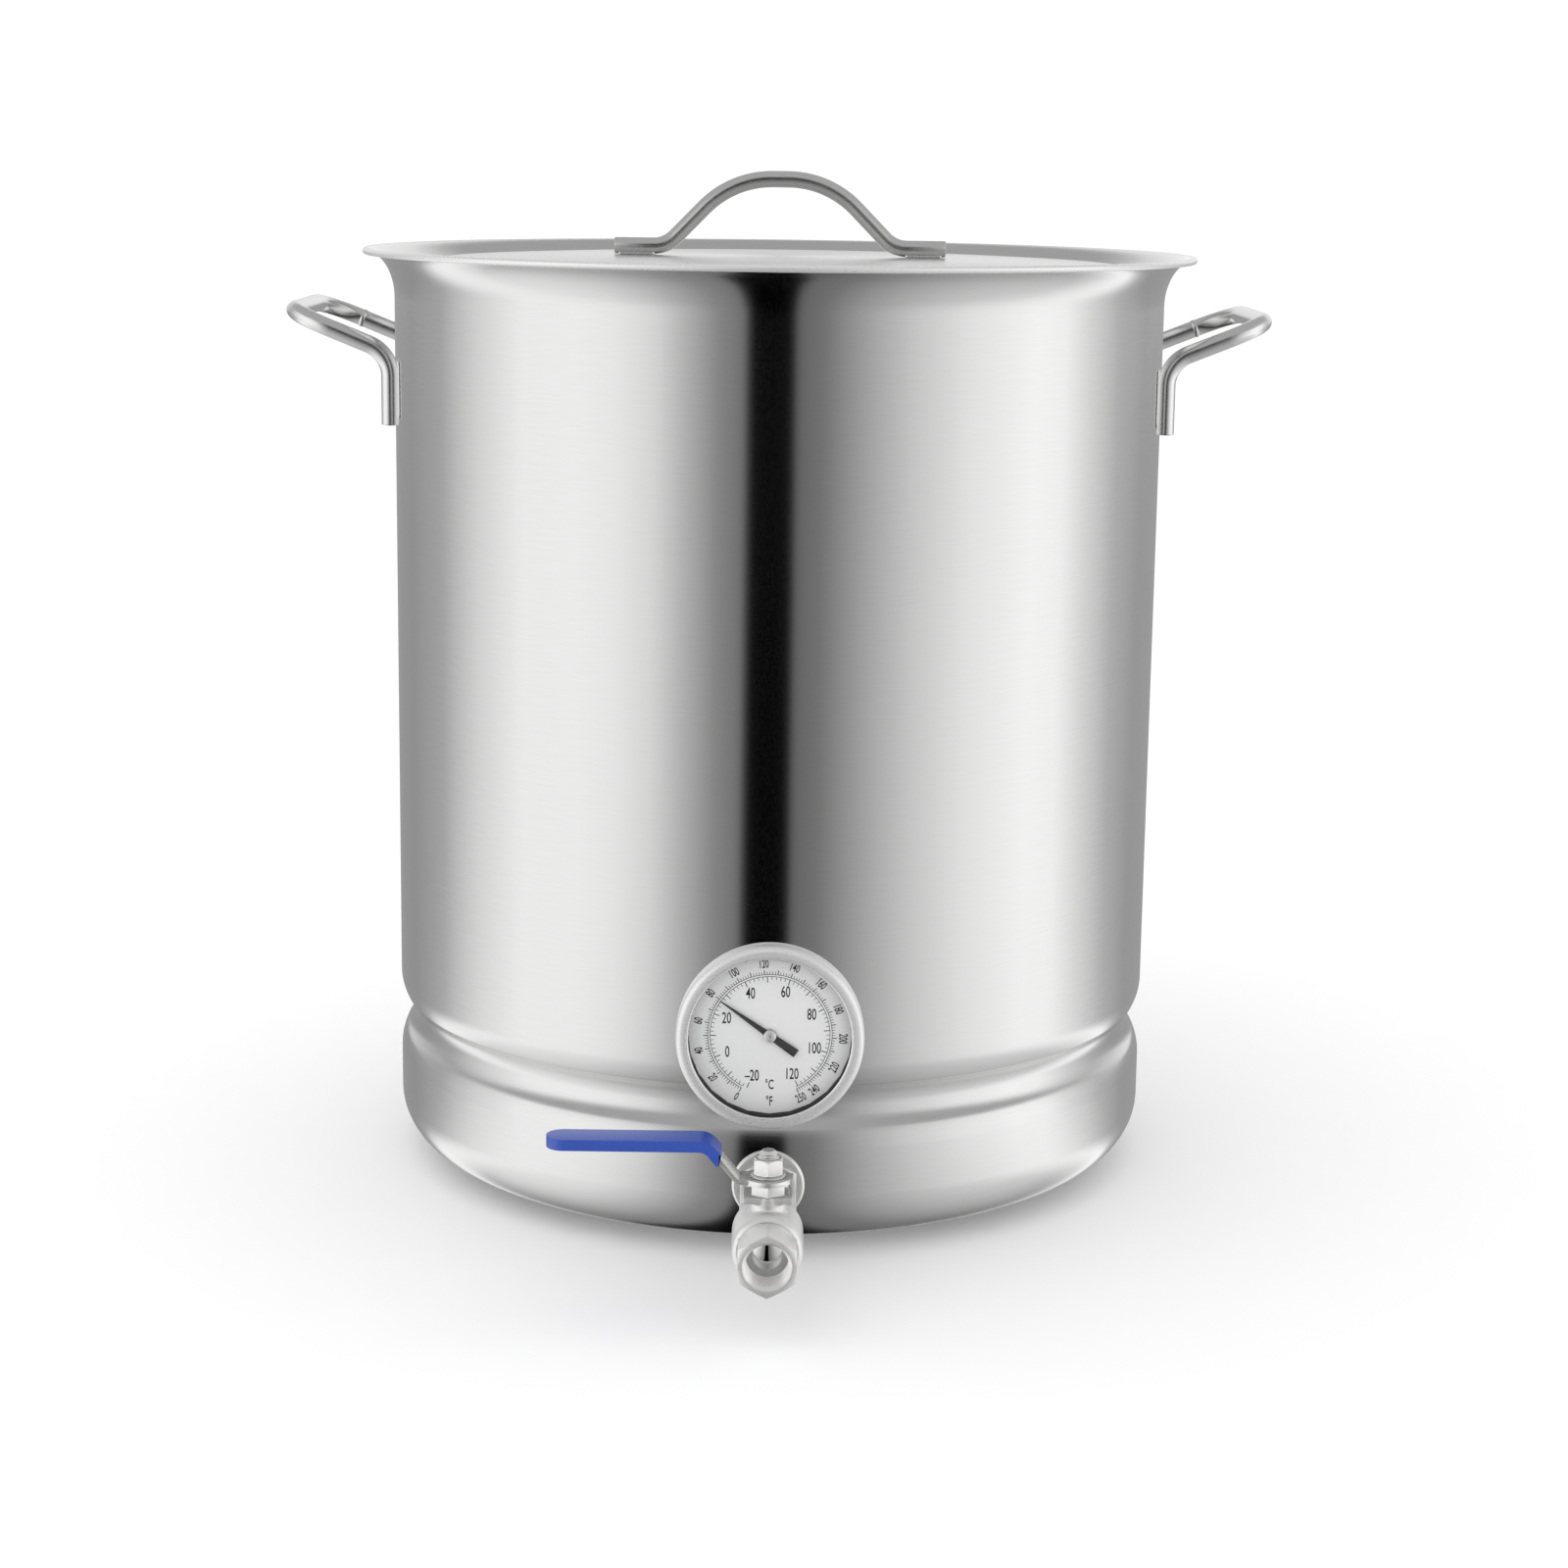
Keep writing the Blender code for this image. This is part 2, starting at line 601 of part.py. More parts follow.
def wall_seals(prefix, height, outer_name, inner):
    """Seal outside the wall, and the seal and locknut inside it."""
    bore = THREAD_RADIUS + GAP
    seal = surface(f"{prefix}_seals", (0.75, 0.74, 0.70), 0.6, metallic=0.0)
    facing_front(turned(outer_name, ring(bore, SEAL_RADIUS, SEAL_OUTER_FACE, SEAL_OUTER_END),
                        seal), height)
    seal_end = seal_inner_end(inner, height)
    facing_front(turned(f"{prefix}_inner_seal",
                        ring(bore, SEAL_RADIUS, seal_end, seal_end + SEAL_THICKNESS), seal),
                 height)
    nut_high = seal_end - GAP
    nut_low = nut_high - LOCKNUT_THICKNESS
    nut = prism(f"{prefix}_locknut", LOCKNUT_FLATS, nut_low, nut_high,
                surface(f"{prefix}_locknut", STEEL, 0.3))
    combine(nut, turned(f"{prefix}_locknut_bore", ring(0.0, bore, nut_low - PAST,
                                                       nut_high + PAST)), "DIFFERENCE")
    facing_front(nut, height)


def bulkhead():
    """Threaded nipple from inside the pot to the valve, and its flanged nut."""
    inner_end = INNER_RADIUS - NIPPLE_INNER_LENGTH
    valve_end = STEM_Y - SEAT_BACK - GAP - BORE_LEDGE - NIPPLE_CLEARANCE
    steel = surface("bulkhead_nipple", STEEL, 0.35)
    nipple = turned("bulkhead_nipple",
                    ring(NIPPLE_BORE_RADIUS, THREAD_RADIUS, inner_end, valve_end), steel)
    facing_front(nipple, VALVE_Z)
    low = SEAL_OUTER_END + GAP
    bore = THREAD_RADIUS + GAP
    flange = turned("flange_nut", ring(0.0, FLANGE_RADIUS, low, low + FLANGE_THICKNESS),
                    surface("flange_nut", POLISHED, 0.22), 2 * FITTING_STEPS)
    high = low + FLANGE_THICKNESS + FLANGE_HEX_LENGTH
    combine(flange, prism("flange_hex", LOCKNUT_FLATS, low + OVERLAP, high), "UNION")
    combine(flange, turned("flange_bore", ring(0.0, bore, low - PAST, high + PAST)),
            "DIFFERENCE")
    facing_front(flange, VALVE_Z)


# Ball valve. Its turned pieces run along local Z, which faces the outlet.

def valve_body():
    """Cast body: inlet hexagon, round chamber, neck and stop pad."""
    inlet = STEM_Y - INLET_LENGTH
    back = inlet + VALVE_BACK
    front = STEM_Y + SEAT_BACK + CAP_SPIGOT_LENGTH
    chamber_back = STEM_Y - SEAT_BACK - GAP
    outline = [(0.0, back), (VALVE_BACK_RADIUS, back),
               (VALVE_BODY_RADIUS - VALVE_ROUND / 2, back + VALVE_BACK_SLOPE - VALVE_ROUND),
               (VALVE_BODY_RADIUS, back + VALVE_BACK_SLOPE),
               (VALVE_BODY_RADIUS, front - VALVE_ROUND),
               (VALVE_BODY_RADIUS - VALVE_ROUND * 0.3, front - VALVE_ROUND * 0.35),
               (VALVE_BODY_RADIUS - VALVE_ROUND * 0.63, front), (0.0, front)]
    body = turned("valve_body", outline, surface("valve_body", POLISHED, 0.24),
                  2 * FITTING_STEPS)
    hexagon = prism("inlet_hex", VALVE_HEX_FLATS, inlet, inlet + INLET_HEX_LENGTH)
    combine(body, hexagon, "UNION")
    neck = turned("neck", ring(0.0, NECK_RADIUS, NECK_ROOT, NECK_TOP - OVERLAP))
    pad_low = NECK_TOP - PAD_THICKNESS
    pad = block("stop_pad", (-PAD_WIDTH / 2, -PAD_DEPTH / 2, pad_low),
                (PAD_WIDTH / 2, PAD_DEPTH / 2, NECK_TOP))
    chamber = turned("chamber", [
        (0.0, inlet - PAST), (VALVE_THREAD_RADIUS, inlet - PAST),
        (VALVE_THREAD_RADIUS, chamber_back - BORE_LEDGE), (PORT_RADIUS, chamber_back - BORE_LEDGE),
        (PORT_RADIUS, chamber_back), (CAVITY_RADIUS, chamber_back),
        (CAVITY_RADIUS, front - CAP_SPIGOT_LENGTH - GAP),
        (CAP_SPIGOT_RADIUS + GAP, front - CAP_SPIGOT_LENGTH - GAP),
        (CAP_SPIGOT_RADIUS + GAP, front + PAST), (0.0, front + PAST)])
    recess_radius = STEM_SHOULDER_RADIUS + GAP
    packing_low = NECK_TOP - PACKING_HEIGHT - PACKING_SINK
    stem_bore = turned("stem_bore", [
        (0.0, STEM_BORE_START), (recess_radius, STEM_BORE_START),
        (recess_radius, VALVE_TOP_RECESS),
        (STEM_RADIUS + GAP, VALVE_TOP_RECESS), (STEM_RADIUS + GAP, packing_low),
        (PACKING_RADIUS + GAP, packing_low), (PACKING_RADIUS + GAP, NECK_TOP + PAST),
        (0.0, NECK_TOP + PAST)])
    for tool, operation in ((neck, "UNION"), (pad, "UNION"), (chamber, "DIFFERENCE"),
                            (stem_bore, "DIFFERENCE")):
        combine(body, tool, operation)
    for tool in (neck, pad, stem_bore):
        tool.rotation_euler = (-math.pi / 2, 0.0, 0.0)
        tool.location = (0.0, 0.0, STEM_Y)
    facing_front(body, VALVE_Z)


def valve_end_cap():
    """Hexagonal outlet that screws into the body's front."""
    back = STEM_Y + SEAT_BACK + GAP
    shoulder = back + CAP_SPIGOT_LENGTH + GAP
    outlet = STEM_Y + OUTLET_LENGTH
    cap = turned("valve_end_cap", [
        (0.0, back), (CAP_SPIGOT_RADIUS, back), (CAP_SPIGOT_RADIUS, shoulder),
        (CAP_COLLAR_RADIUS, shoulder), (CAP_COLLAR_RADIUS - EDGE, shoulder + CAP_COLLAR_LENGTH),
        (0.0, shoulder + CAP_COLLAR_LENGTH)],
        surface("valve_end_cap", POLISHED, 0.24), 2 * FITTING_STEPS)
    hexagon = prism("outlet_hex", VALVE_HEX_FLATS, outlet - VALVE_HEX_LENGTH, outlet)
    combine(hexagon, chamfer_cone("outlet_chamfer", VALVE_HEX_FLATS, outlet),
            "INTERSECT")
    combine(cap, hexagon, "UNION")
    combine(cap, turned("outlet_bore", [
        (0.0, back - PAST), (PORT_RADIUS, back - PAST),
        (PORT_RADIUS, outlet - OUTLET_THREAD_DEPTH),
        (VALVE_THREAD_RADIUS, outlet - OUTLET_THREAD_DEPTH),
        (VALVE_THREAD_RADIUS, outlet - MOUTH_CHAMFER),
        (VALVE_THREAD_RADIUS + MOUTH_CHAMFER * 0.7, outlet),
        (VALVE_THREAD_RADIUS + MOUTH_CHAMFER * 0.7, outlet + PAST),
        (0.0, outlet + PAST)]), "DIFFERENCE")
    facing_front(cap, VALVE_Z)


def valve_seats():
    """Two soft rings that the ball turns between."""
    rim = PORT_RADIUS
    reach = BALL_RADIUS + SEAT_CLEARANCE
    wide = SEAT_LIP_RADIUS
    material = surface("valve_seats", (0.86, 0.86, 0.84), 0.5, metallic=0.0)
    for name, way in (("seat_front", 1), ("seat_rear", -1)):
        outline = [(rim, STEM_Y + way * math.sqrt(reach**2 - rim**2)),
                   (wide, STEM_Y + way * math.sqrt(reach**2 - wide**2)),
                   (BALL_RADIUS, STEM_Y + way * math.sqrt(reach**2 - wide**2)),
                   (BALL_RADIUS, STEM_Y + way * SEAT_BACK), (rim, STEM_Y + way * SEAT_BACK)]
        facing_front(turned(name, outline, material), VALVE_Z)


def valve_ball():
    """Ball with its port across the flow while the valve is shut."""
    bm = bmesh.new()
    bmesh.ops.create_uvsphere(bm, u_segments=20, v_segments=12, radius=BALL_RADIUS)
    ball = finish_mesh("ball", bm, surface("ball", (0.85, 0.85, 0.85), 0.08))
    port = turned("ball_port", ring(0.0, PORT_RADIUS, -BALL_RADIUS - PAST,
                                     BALL_RADIUS + PAST))
    combine(ball, port, "DIFFERENCE")
    port.rotation_euler = (0.0, math.pi / 2, 0.0)
    slot_low = STEM_SHOULDER_LOW - TANG_DEPTH - GAP
    combine(ball, block("ball_slot", (-TANG_LENGTH / 2 - GAP, -TANG_WIDTH / 2 - GAP, slot_low),
                        (TANG_LENGTH / 2 + GAP, TANG_WIDTH / 2 + GAP, BALL_RADIUS + PAST)),
            "DIFFERENCE")
    on_stem(ball)


def valve_stem():
    """Blow-out proof stem: tang, shoulder and threaded shank."""
    low = STEM_SHOULDER_LOW
    high = low + STEM_SHOULDER_HEIGHT
    top = nut_top() + STEM_END
    stem = turned("valve_stem", [
        (0.0, low), (STEM_SHOULDER_RADIUS, low), (STEM_SHOULDER_RADIUS, high),
        (STEM_RADIUS, high), (STEM_RADIUS, top - EDGE), (STEM_RADIUS - EDGE, top),
        (0.0, top)], surface("valve_stem", STEEL, 0.3))
    combine(stem, block("stem_tang", (-TANG_LENGTH / 2, -TANG_WIDTH / 2, low - TANG_DEPTH),
                        (TANG_LENGTH / 2, TANG_WIDTH / 2, low + OVERLAP / 2)), "UNION")
    on_stem(stem)


def stem_seals():
    """Thrust washer under the neck, packing in it, and the gland nut on top."""
    bore = STEM_RADIUS + GAP
    soft = surface("stem_packing", (0.86, 0.86, 0.84), 0.5, metallic=0.0)
    washer_low = STEM_SHOULDER_LOW + STEM_SHOULDER_HEIGHT + GAP
    on_stem(turned("thrust_washer", ring(bore, STEM_SHOULDER_RADIUS, washer_low,
                                         washer_low + WASHER_THICKNESS), soft))
    packing_low = NECK_TOP - PACKING_HEIGHT - PACKING_SINK + GAP
    packing_high = packing_low + PACKING_HEIGHT
    on_stem(turned("stem_packing", ring(bore, PACKING_RADIUS, packing_low, packing_high), soft))
    gland_high = LEVER_Z - LEVER_THICKNESS / 2 - GAP
    gland = prism("gland_nut", GLAND_FLATS, NECK_TOP + GAP, gland_high,
                  surface("gland_nut", POLISHED, 0.25))
    combine(gland, turned("gland_skirt", ring(0.0, PACKING_RADIUS, packing_high + GAP,
                                              NECK_TOP + OVERLAP)), "UNION")
    combine(gland, turned("gland_bore", ring(0.0, bore, packing_low, gland_high + PAST)),
            "DIFFERENCE")
    on_stem(gland)


def washer_top():
    """Return the height of the top of the spring washer."""
    return LEVER_Z + LEVER_THICKNESS / 2 + GAP + SPRING_WASHER_THICKNESS


def nut_top():
    """Return the height of the top of the lever's nut."""
    return washer_top() + GAP + NUT_HEIGHT


def lever_route(end_x):
    """Return the centre line of the lever, from the hub to a distance from the stem."""
    rise_end = LEVER_BEND_X + LEVER_RISE / math.tan(LEVER_SLOPE)
    corners = [(-LEVER_STRIP_START, 0.0, LEVER_Z), (-LEVER_BEND_X, 0.0, LEVER_Z),
               (-rise_end, 0.0, LEVER_Z + LEVER_RISE), (-end_x, 0.0, LEVER_Z + LEVER_RISE)]
    path = fillet_path(corners, [LEVER_LOWER_BEND, LEVER_UPPER_BEND], steps=3)
    return [(point.x, point.z) for point in path]


def rounded_end(path, half_width, end_x):
    """Return half widths that close a strip's far end with a half circle."""
    widths = []
    for x, _ in path:
        into = half_width - (end_x + x)
        share = min(max(into / half_width, 0.0), 0.93)
        widths.append(half_width * math.sqrt(1 - share**2))
    return widths


def lever_tip(end_x, half_width):
    """Return the last points of a strip that ends in a half circle."""
    height = LEVER_Z + LEVER_RISE
    return [(-end_x + half_width * (1 - math.sin(math.pi / 2 * share)), height)
            for share in (0.0, 0.35, 0.65, 0.85, 1.0)]


def lever():
    """Bent strip with a hub hole, a stop tab and a rounded end."""
    half = LEVER_STRIP_WIDTH / 2
    path = lever_route(LEVER_LENGTH)[:-1] + lever_tip(LEVER_LENGTH, half)
    widths = rounded_end(path, half, LEVER_LENGTH)
    strip = ribbon("lever", path, widths, LEVER_THICKNESS, LEVER_EDGE,
                   surface("lever", POLISHED, 0.28))
    low, high = LEVER_Z - LEVER_THICKNESS / 2, LEVER_Z + LEVER_THICKNESS / 2
    hub = turned("lever_hub", ring(0.0, LEVER_WIDTH / 2, low, high))
    tab_side = LEVER_TAB_WIDTH / 2
    tab = block("lever_tab", (LEVER_TAB_X - LEVER_THICKNESS, -tab_side, low - LEVER_TAB_DROP),
                (LEVER_TAB_X, tab_side, high))
    tongue = block("lever_tongue", (0.0, -tab_side, low), (LEVER_TAB_X, tab_side, high))
    hole = turned("lever_hole", ring(0.0, STEM_RADIUS + GAP, low - PAST, high + PAST))
    for tool, operation in ((hub, "UNION"), (tongue, "UNION"), (tab, "UNION"),
                            (hole, "DIFFERENCE")):
        combine(strip, tool, operation)
    on_stem(strip)


def lever_grip():
    """Soft sleeve over the lever's far end."""
    end_x = LEVER_LENGTH + GRIP_END_WALL
    half = GRIP_WIDTH / 2
    path = [point for point in lever_route(end_x)[:-1] if -point[0] >= GRIP_START]
    first_x, first_z = path[0]
    lead = (-first_x) - GRIP_START
    if lead > GAP:
        path.insert(0, (-GRIP_START, first_z - lead * math.tan(LEVER_SLOPE)))
    path += lever_tip(end_x, half)
    widths = rounded_end(path, half, end_x)
    grip = ribbon("lever_grip", path, widths, GRIP_THICKNESS, GRIP_EDGE,
                  surface("lever_grip", (0.03, 0.07, 0.42), 0.35, metallic=0.0))
    slot_half = LEVER_STRIP_WIDTH / 2 + GAP
    slot_end = LEVER_LENGTH + GAP
    slot_path = lever_route(slot_end)[:-1] + lever_tip(slot_end, slot_half)
    slot_widths = rounded_end(slot_path, slot_half, slot_end)
    combine(grip, ribbon("grip_slot", slot_path, slot_widths, LEVER_THICKNESS + 2 * GAP,
                         LEVER_EDGE), "DIFFERENCE")
    on_stem(grip)


def lever_fixings():
    """Spring washer and nut that hold the lever on the stem."""
    bore = STEM_RADIUS + GAP
    top = washer_top()
    on_stem(turned("spring_washer", ring(bore, SPRING_WASHER_RADIUS,
                                         top - SPRING_WASHER_THICKNESS, top),
                   surface("spring_washer", STEEL, 0.3)))
    nut = prism("lever_nut", NUT_FLATS, top + GAP, nut_top(),
                surface("lever_nut", POLISHED, 0.22))
    combine(nut, chamfer_cone("nut_chamfer", NUT_FLATS, nut_top()), "INTERSECT")
    combine(nut, turned("nut_bore", ring(0.0, bore, top - PAST, nut_top() + PAST)),
            "DIFFERENCE")
    on_stem(nut)


# Dial thermometer. Local Z faces out of the dial.

def case_front():
    """Return the distance of the case's front edge from the kettle's axis."""
    return BEZEL_FRONT - BEZEL_LIP - GAP - LENS_THICKNESS - GAP


def dial_front():
    """Return the distance of the dial plate's front from the kettle's axis."""
    return case_front() - DIAL_RECESS + GAP


def thermometer_case():
    """Pan, crimped bezel, lens and the gasket behind it."""
    front = case_front()
    back = front - CASE_DEPTH
    inner = CASE_RADIUS - CASE_WALL
    hole = PROBE_RADIUS + GAP
    turned_case = turned("thermo_case", [
        (hole, back), (CASE_RADIUS - CASE_CORNER, back), (CASE_RADIUS, back + CASE_CORNER),
        (CASE_RADIUS, front), (inner, front), (inner, back + CASE_WALL),
        (hole, back + CASE_WALL)], surface("thermo_case", STEEL, 0.3), 2 * FITTING_STEPS)
    facing_front(turned_case, DIAL_Z)
    skirt = CASE_RADIUS + GAP
    lip = BEZEL_FRONT - BEZEL_LIP
    bezel = turned("thermo_bezel", [
        (skirt, BEZEL_FRONT - BEZEL_DEPTH), (BEZEL_RADIUS, BEZEL_FRONT - BEZEL_DEPTH),
        (BEZEL_RADIUS, BEZEL_FRONT - BEZEL_ROUND),
        (BEZEL_RADIUS - BEZEL_ROUND * 0.3, BEZEL_FRONT - BEZEL_ROUND * 0.3),
        (BEZEL_RADIUS - BEZEL_ROUND, BEZEL_FRONT), (BEZEL_OPENING_RADIUS + EDGE, BEZEL_FRONT),
        (BEZEL_OPENING_RADIUS, BEZEL_FRONT - EDGE), (BEZEL_OPENING_RADIUS, lip),
        (skirt, lip)], surface("thermo_bezel", POLISHED, 0.2), 2 * FITTING_STEPS)
    facing_front(bezel, DIAL_Z)
    lens_high = lip - GAP
    lens = turned("thermo_lens", [
        (0.0, lens_high - LENS_THICKNESS), (LENS_RADIUS, lens_high - LENS_THICKNESS),
        (LENS_RADIUS, lens_high), (0.0, lens_high)],
        surface("thermo_lens", (0.95, 0.97, 0.97), 0.02, 0.0, 0.25, 0.9), 2 * FITTING_STEPS)
    facing_front(lens, DIAL_Z)
    gasket_outer = inner - GAP
    gasket_high = lens_high - LENS_THICKNESS - GAP
    facing_front(turned("lens_gasket", ring(gasket_outer - LENS_GASKET_WIDTH, gasket_outer,
                                            gasket_high - LENS_GASKET_THICKNESS, gasket_high),
                        surface("lens_gasket", (0.03, 0.03, 0.03), 0.6, metallic=0.0)), DIAL_Z)


def dial_and_pointer():
    """Dial plate, and the pointer with its hub and shaft."""
    front = dial_front()
    plate_radius = CASE_RADIUS - CASE_WALL - 2 * GAP
    facing_front(turned("dial_plate", ring(SHAFT_RADIUS + GAP, plate_radius,
                                           front - DIAL_THICKNESS, front),
                        surface("dial_plate", (0.9, 0.9, 0.89), 0.5, metallic=0.0)), DIAL_Z)
    low = front + POINTER_STAND_OFF
    high = low + POINTER_THICKNESS
    bm = bmesh.new()
    half_tip, half_tail = POINTER_TIP_WIDTH / 2, POINTER_TAIL_WIDTH / 2
    neck = HUB_RADIUS
    outline = [(-half_tail, -POINTER_TAIL), (half_tail, -POINTER_TAIL),
               (half_tail * 0.8, -neck), (half_tail * 0.45, neck), (half_tip, POINTER_LENGTH),
               (-half_tip, POINTER_LENGTH), (-half_tail * 0.45, neck), (-half_tail * 0.8, -neck)]
    turn = Matrix.Rotation(POINTER_ANGLE, 3, "Z")
    face = bm.faces.new([bm.verts.new(turn @ Vector((x, y, low))) for x, y in outline])
    side = bmesh.ops.extrude_face_region(bm, geom=[face])
    raised = [item for item in side["geom"] if isinstance(item, bmesh.types.BMVert)]
    bmesh.ops.translate(bm, verts=raised, vec=(0, 0, high - low))
    ink = surface("pointer", (0.04, 0.04, 0.045), 0.4, metallic=0.0)
    pointer = finish_mesh("pointer", bm, ink, smooth=False)
    shank = HUB_RADIUS * 0.5
    combine(pointer, turned("pointer_boss", ring(0.0, HUB_RADIUS, low, high)), "UNION")
    combine(pointer, turned("pointer_hole", ring(0.0, shank + GAP, low - PAST, high + PAST)),
            "DIFFERENCE")
    facing_front(pointer, DIAL_Z)
    hub = turned("pointer_hub", [
        (SHAFT_RADIUS + GAP / 2, low - HUB_SHANK_DROP), (shank, low - HUB_SHANK_DROP),
        (shank, high + GAP), (HUB_RADIUS, high + GAP), (HUB_RADIUS, high + HUB_HEIGHT - EDGE),
        (HUB_RADIUS - EDGE, high + HUB_HEIGHT), (SHAFT_RADIUS + GAP / 2, high + HUB_HEIGHT)],
        surface("pointer_hub", STEEL, 0.3))
    facing_front(hub, DIAL_Z)
    tip = INNER_RADIUS - PROBE_REACH
    facing_front(turned("pointer_shaft", [
        (0.0, tip + SHAFT_START), (SHAFT_RADIUS, tip + SHAFT_START),
        (SHAFT_RADIUS, high + HUB_HEIGHT),
        (0.0, high + HUB_HEIGHT)], surface("pointer_shaft", STEEL, 0.35), 8), DIAL_Z)


def thermometer_stem(inner_path):
    """Hexagonal fitting, closed probe and the bimetal coil inside it."""
    case_back = case_front() - CASE_DEPTH
    thread_end = (seal_inner_end(inner_path, DIAL_Z) - GAP - LOCKNUT_THICKNESS
                  - FITTING_END_MARGIN)
    hex_low = SEAL_OUTER_END + GAP
    hex_high = hex_low + FITTING_HEX_LENGTH
    bore = PROBE_RADIUS + GAP
    fitting = turned("thermo_fitting", [
        (0.0, thread_end), (THREAD_RADIUS, thread_end), (THREAD_RADIUS, hex_low + OVERLAP),
        (FITTING_NECK_RADIUS, hex_low + 2 * OVERLAP), (FITTING_NECK_RADIUS, case_back - GAP),
        (0.0, case_back - GAP)], surface("thermo_fitting", STEEL, 0.3))
    combine(fitting, prism("fitting_hex", FITTING_FLATS, hex_low, hex_high), "UNION")
    combine(fitting, turned("fitting_bore", ring(0.0, bore, thread_end - PAST,
                                                 case_back + PAST)), "DIFFERENCE")
    facing_front(fitting, DIAL_Z)
    tip = INNER_RADIUS - PROBE_REACH
    probe_end = case_back + CASE_WALL + PROBE_LIP
    inner = PROBE_RADIUS - PROBE_WALL
    facing_front(turned("thermo_probe", [
        (0.0, tip), (PROBE_RADIUS - PROBE_TIP_CHAMFER, tip),
        (PROBE_RADIUS, tip + PROBE_TIP_CHAMFER), (PROBE_RADIUS, probe_end), (inner, probe_end),
        (inner, tip + PROBE_END_WALL), (0.0, tip + PROBE_END_WALL)],
        surface("thermo_probe", STEEL, 0.28)), DIAL_Z)
    start = tip + COIL_START
    per_turn = 8
    path = []
    for index in range(COIL_TURNS * per_turn + 1):
        angle = math.tau * index / per_turn
        path.append((COIL_RADIUS * math.cos(angle), COIL_RADIUS * math.sin(angle),
                     start + COIL_LENGTH * index / (COIL_TURNS * per_turn)))
    facing_front(rod("bimetal_coil", path, COIL_WIRE_RADIUS,
                     surface("bimetal_coil", (0.55, 0.45, 0.33), 0.4), resolution=0), DIAL_Z)


def build():
    """Make every piece."""
    clear_scene()
    outer = shell_outer_path()
    inner = offset_path(outer, WALL)
    kettle_shell(outer, inner)
    base()
    side_handle("side_handle_left", -1)
    side_handle("side_handle_right", 1)
    false_bottom(inner)
    lid(inner)
    wall_seals("valve", VALVE_Z, "valve_outer_seal", inner)
    wall_seals("thermo", DIAL_Z, "thermo_outer_seal", inner)
    bulkhead()
    valve_body()
    valve_end_cap()
    valve_seats()
    valve_ball()
    valve_stem()
    stem_seals()
    lever()
    lever_grip()
    lever_fixings()
    thermometer_case()
    dial_and_pointer()
    thermometer_stem(inner)


build()
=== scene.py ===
"""Finished look of a brew kettle with a lid, a dial thermometer and a ball valve.

Metres, +Z up. The kettle's axis is on Z and its fittings face -Y. Turned
fittings are drawn along local Z as distances from the kettle's axis, and are
then turned to face the front.
"""

import logging
import math
from dataclasses import dataclass
from enum import Enum

import bpy
from mathutils import Euler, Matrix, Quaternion, Vector


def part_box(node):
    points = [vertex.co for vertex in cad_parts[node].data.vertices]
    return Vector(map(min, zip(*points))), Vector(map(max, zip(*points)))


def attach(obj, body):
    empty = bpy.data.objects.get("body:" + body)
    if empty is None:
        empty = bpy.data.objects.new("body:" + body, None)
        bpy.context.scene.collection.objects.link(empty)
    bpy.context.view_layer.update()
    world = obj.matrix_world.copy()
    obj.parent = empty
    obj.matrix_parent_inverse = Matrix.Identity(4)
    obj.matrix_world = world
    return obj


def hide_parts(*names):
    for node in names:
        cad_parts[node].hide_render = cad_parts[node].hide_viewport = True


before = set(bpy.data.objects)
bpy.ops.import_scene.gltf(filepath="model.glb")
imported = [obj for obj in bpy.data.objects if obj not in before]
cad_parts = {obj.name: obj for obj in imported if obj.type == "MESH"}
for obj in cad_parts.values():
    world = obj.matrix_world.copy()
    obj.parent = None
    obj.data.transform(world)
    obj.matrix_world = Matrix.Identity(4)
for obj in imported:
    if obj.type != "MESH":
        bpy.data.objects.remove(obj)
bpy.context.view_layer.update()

LOG = logging.getLogger("brew_kettle")

Profile = list[tuple[float, float]]
Color = tuple[float, float, float]
Piece = bpy.types.Object
Material = bpy.types.Material
NodeTree = bpy.types.NodeTree
Socket = bpy.types.NodeSocket

GAP = 0.0003                # left between pieces that touch
PAST = 0.002                # how far a cutter passes the face that it cuts
STEEP_TRIM = 1.7            # slope of the cone that takes a nut's corners off
MERGE_DISTANCE = 1e-6
SMOOTH_ANGLE = math.radians(35)
FITTING_STEPS = 72          # facets round a turned fitting


# Bench work: moves on one piece at a time

def clear_selection() -> None:
    """Leave edit mode and deselect everything."""
    active = bpy.context.object
    if active is not None and active.mode != "OBJECT":
        bpy.ops.object.mode_set(mode="OBJECT")
    bpy.ops.object.select_all(action="DESELECT")


def pick(piece: Piece) -> None:
    """Select one piece alone and make it active."""
    clear_selection()
    piece.select_set(True)
    bpy.context.view_layer.objects.active = piece


def name_piece(name: str) -> Piece:
    """Name the piece that an operator has just added, and return it."""
    piece = bpy.context.object
    piece.name = name
    piece.data.name = name
    return piece


def apply_place(piece: Piece) -> None:
    """Move a piece's place, turn and scale into its mesh."""
    pick(piece)
    bpy.ops.object.transform_apply(location=True, rotation=True, scale=True)


def tidy_mesh(piece: Piece) -> None:
    """Merge doubled points and turn every face outwards."""
    pick(piece)
    bpy.ops.object.mode_set(mode="EDIT")
    bpy.ops.mesh.select_all(action="SELECT")
    bpy.ops.mesh.remove_doubles(threshold=MERGE_DISTANCE)
    bpy.ops.mesh.normals_make_consistent(inside=False)
    bpy.ops.object.mode_set(mode="OBJECT")


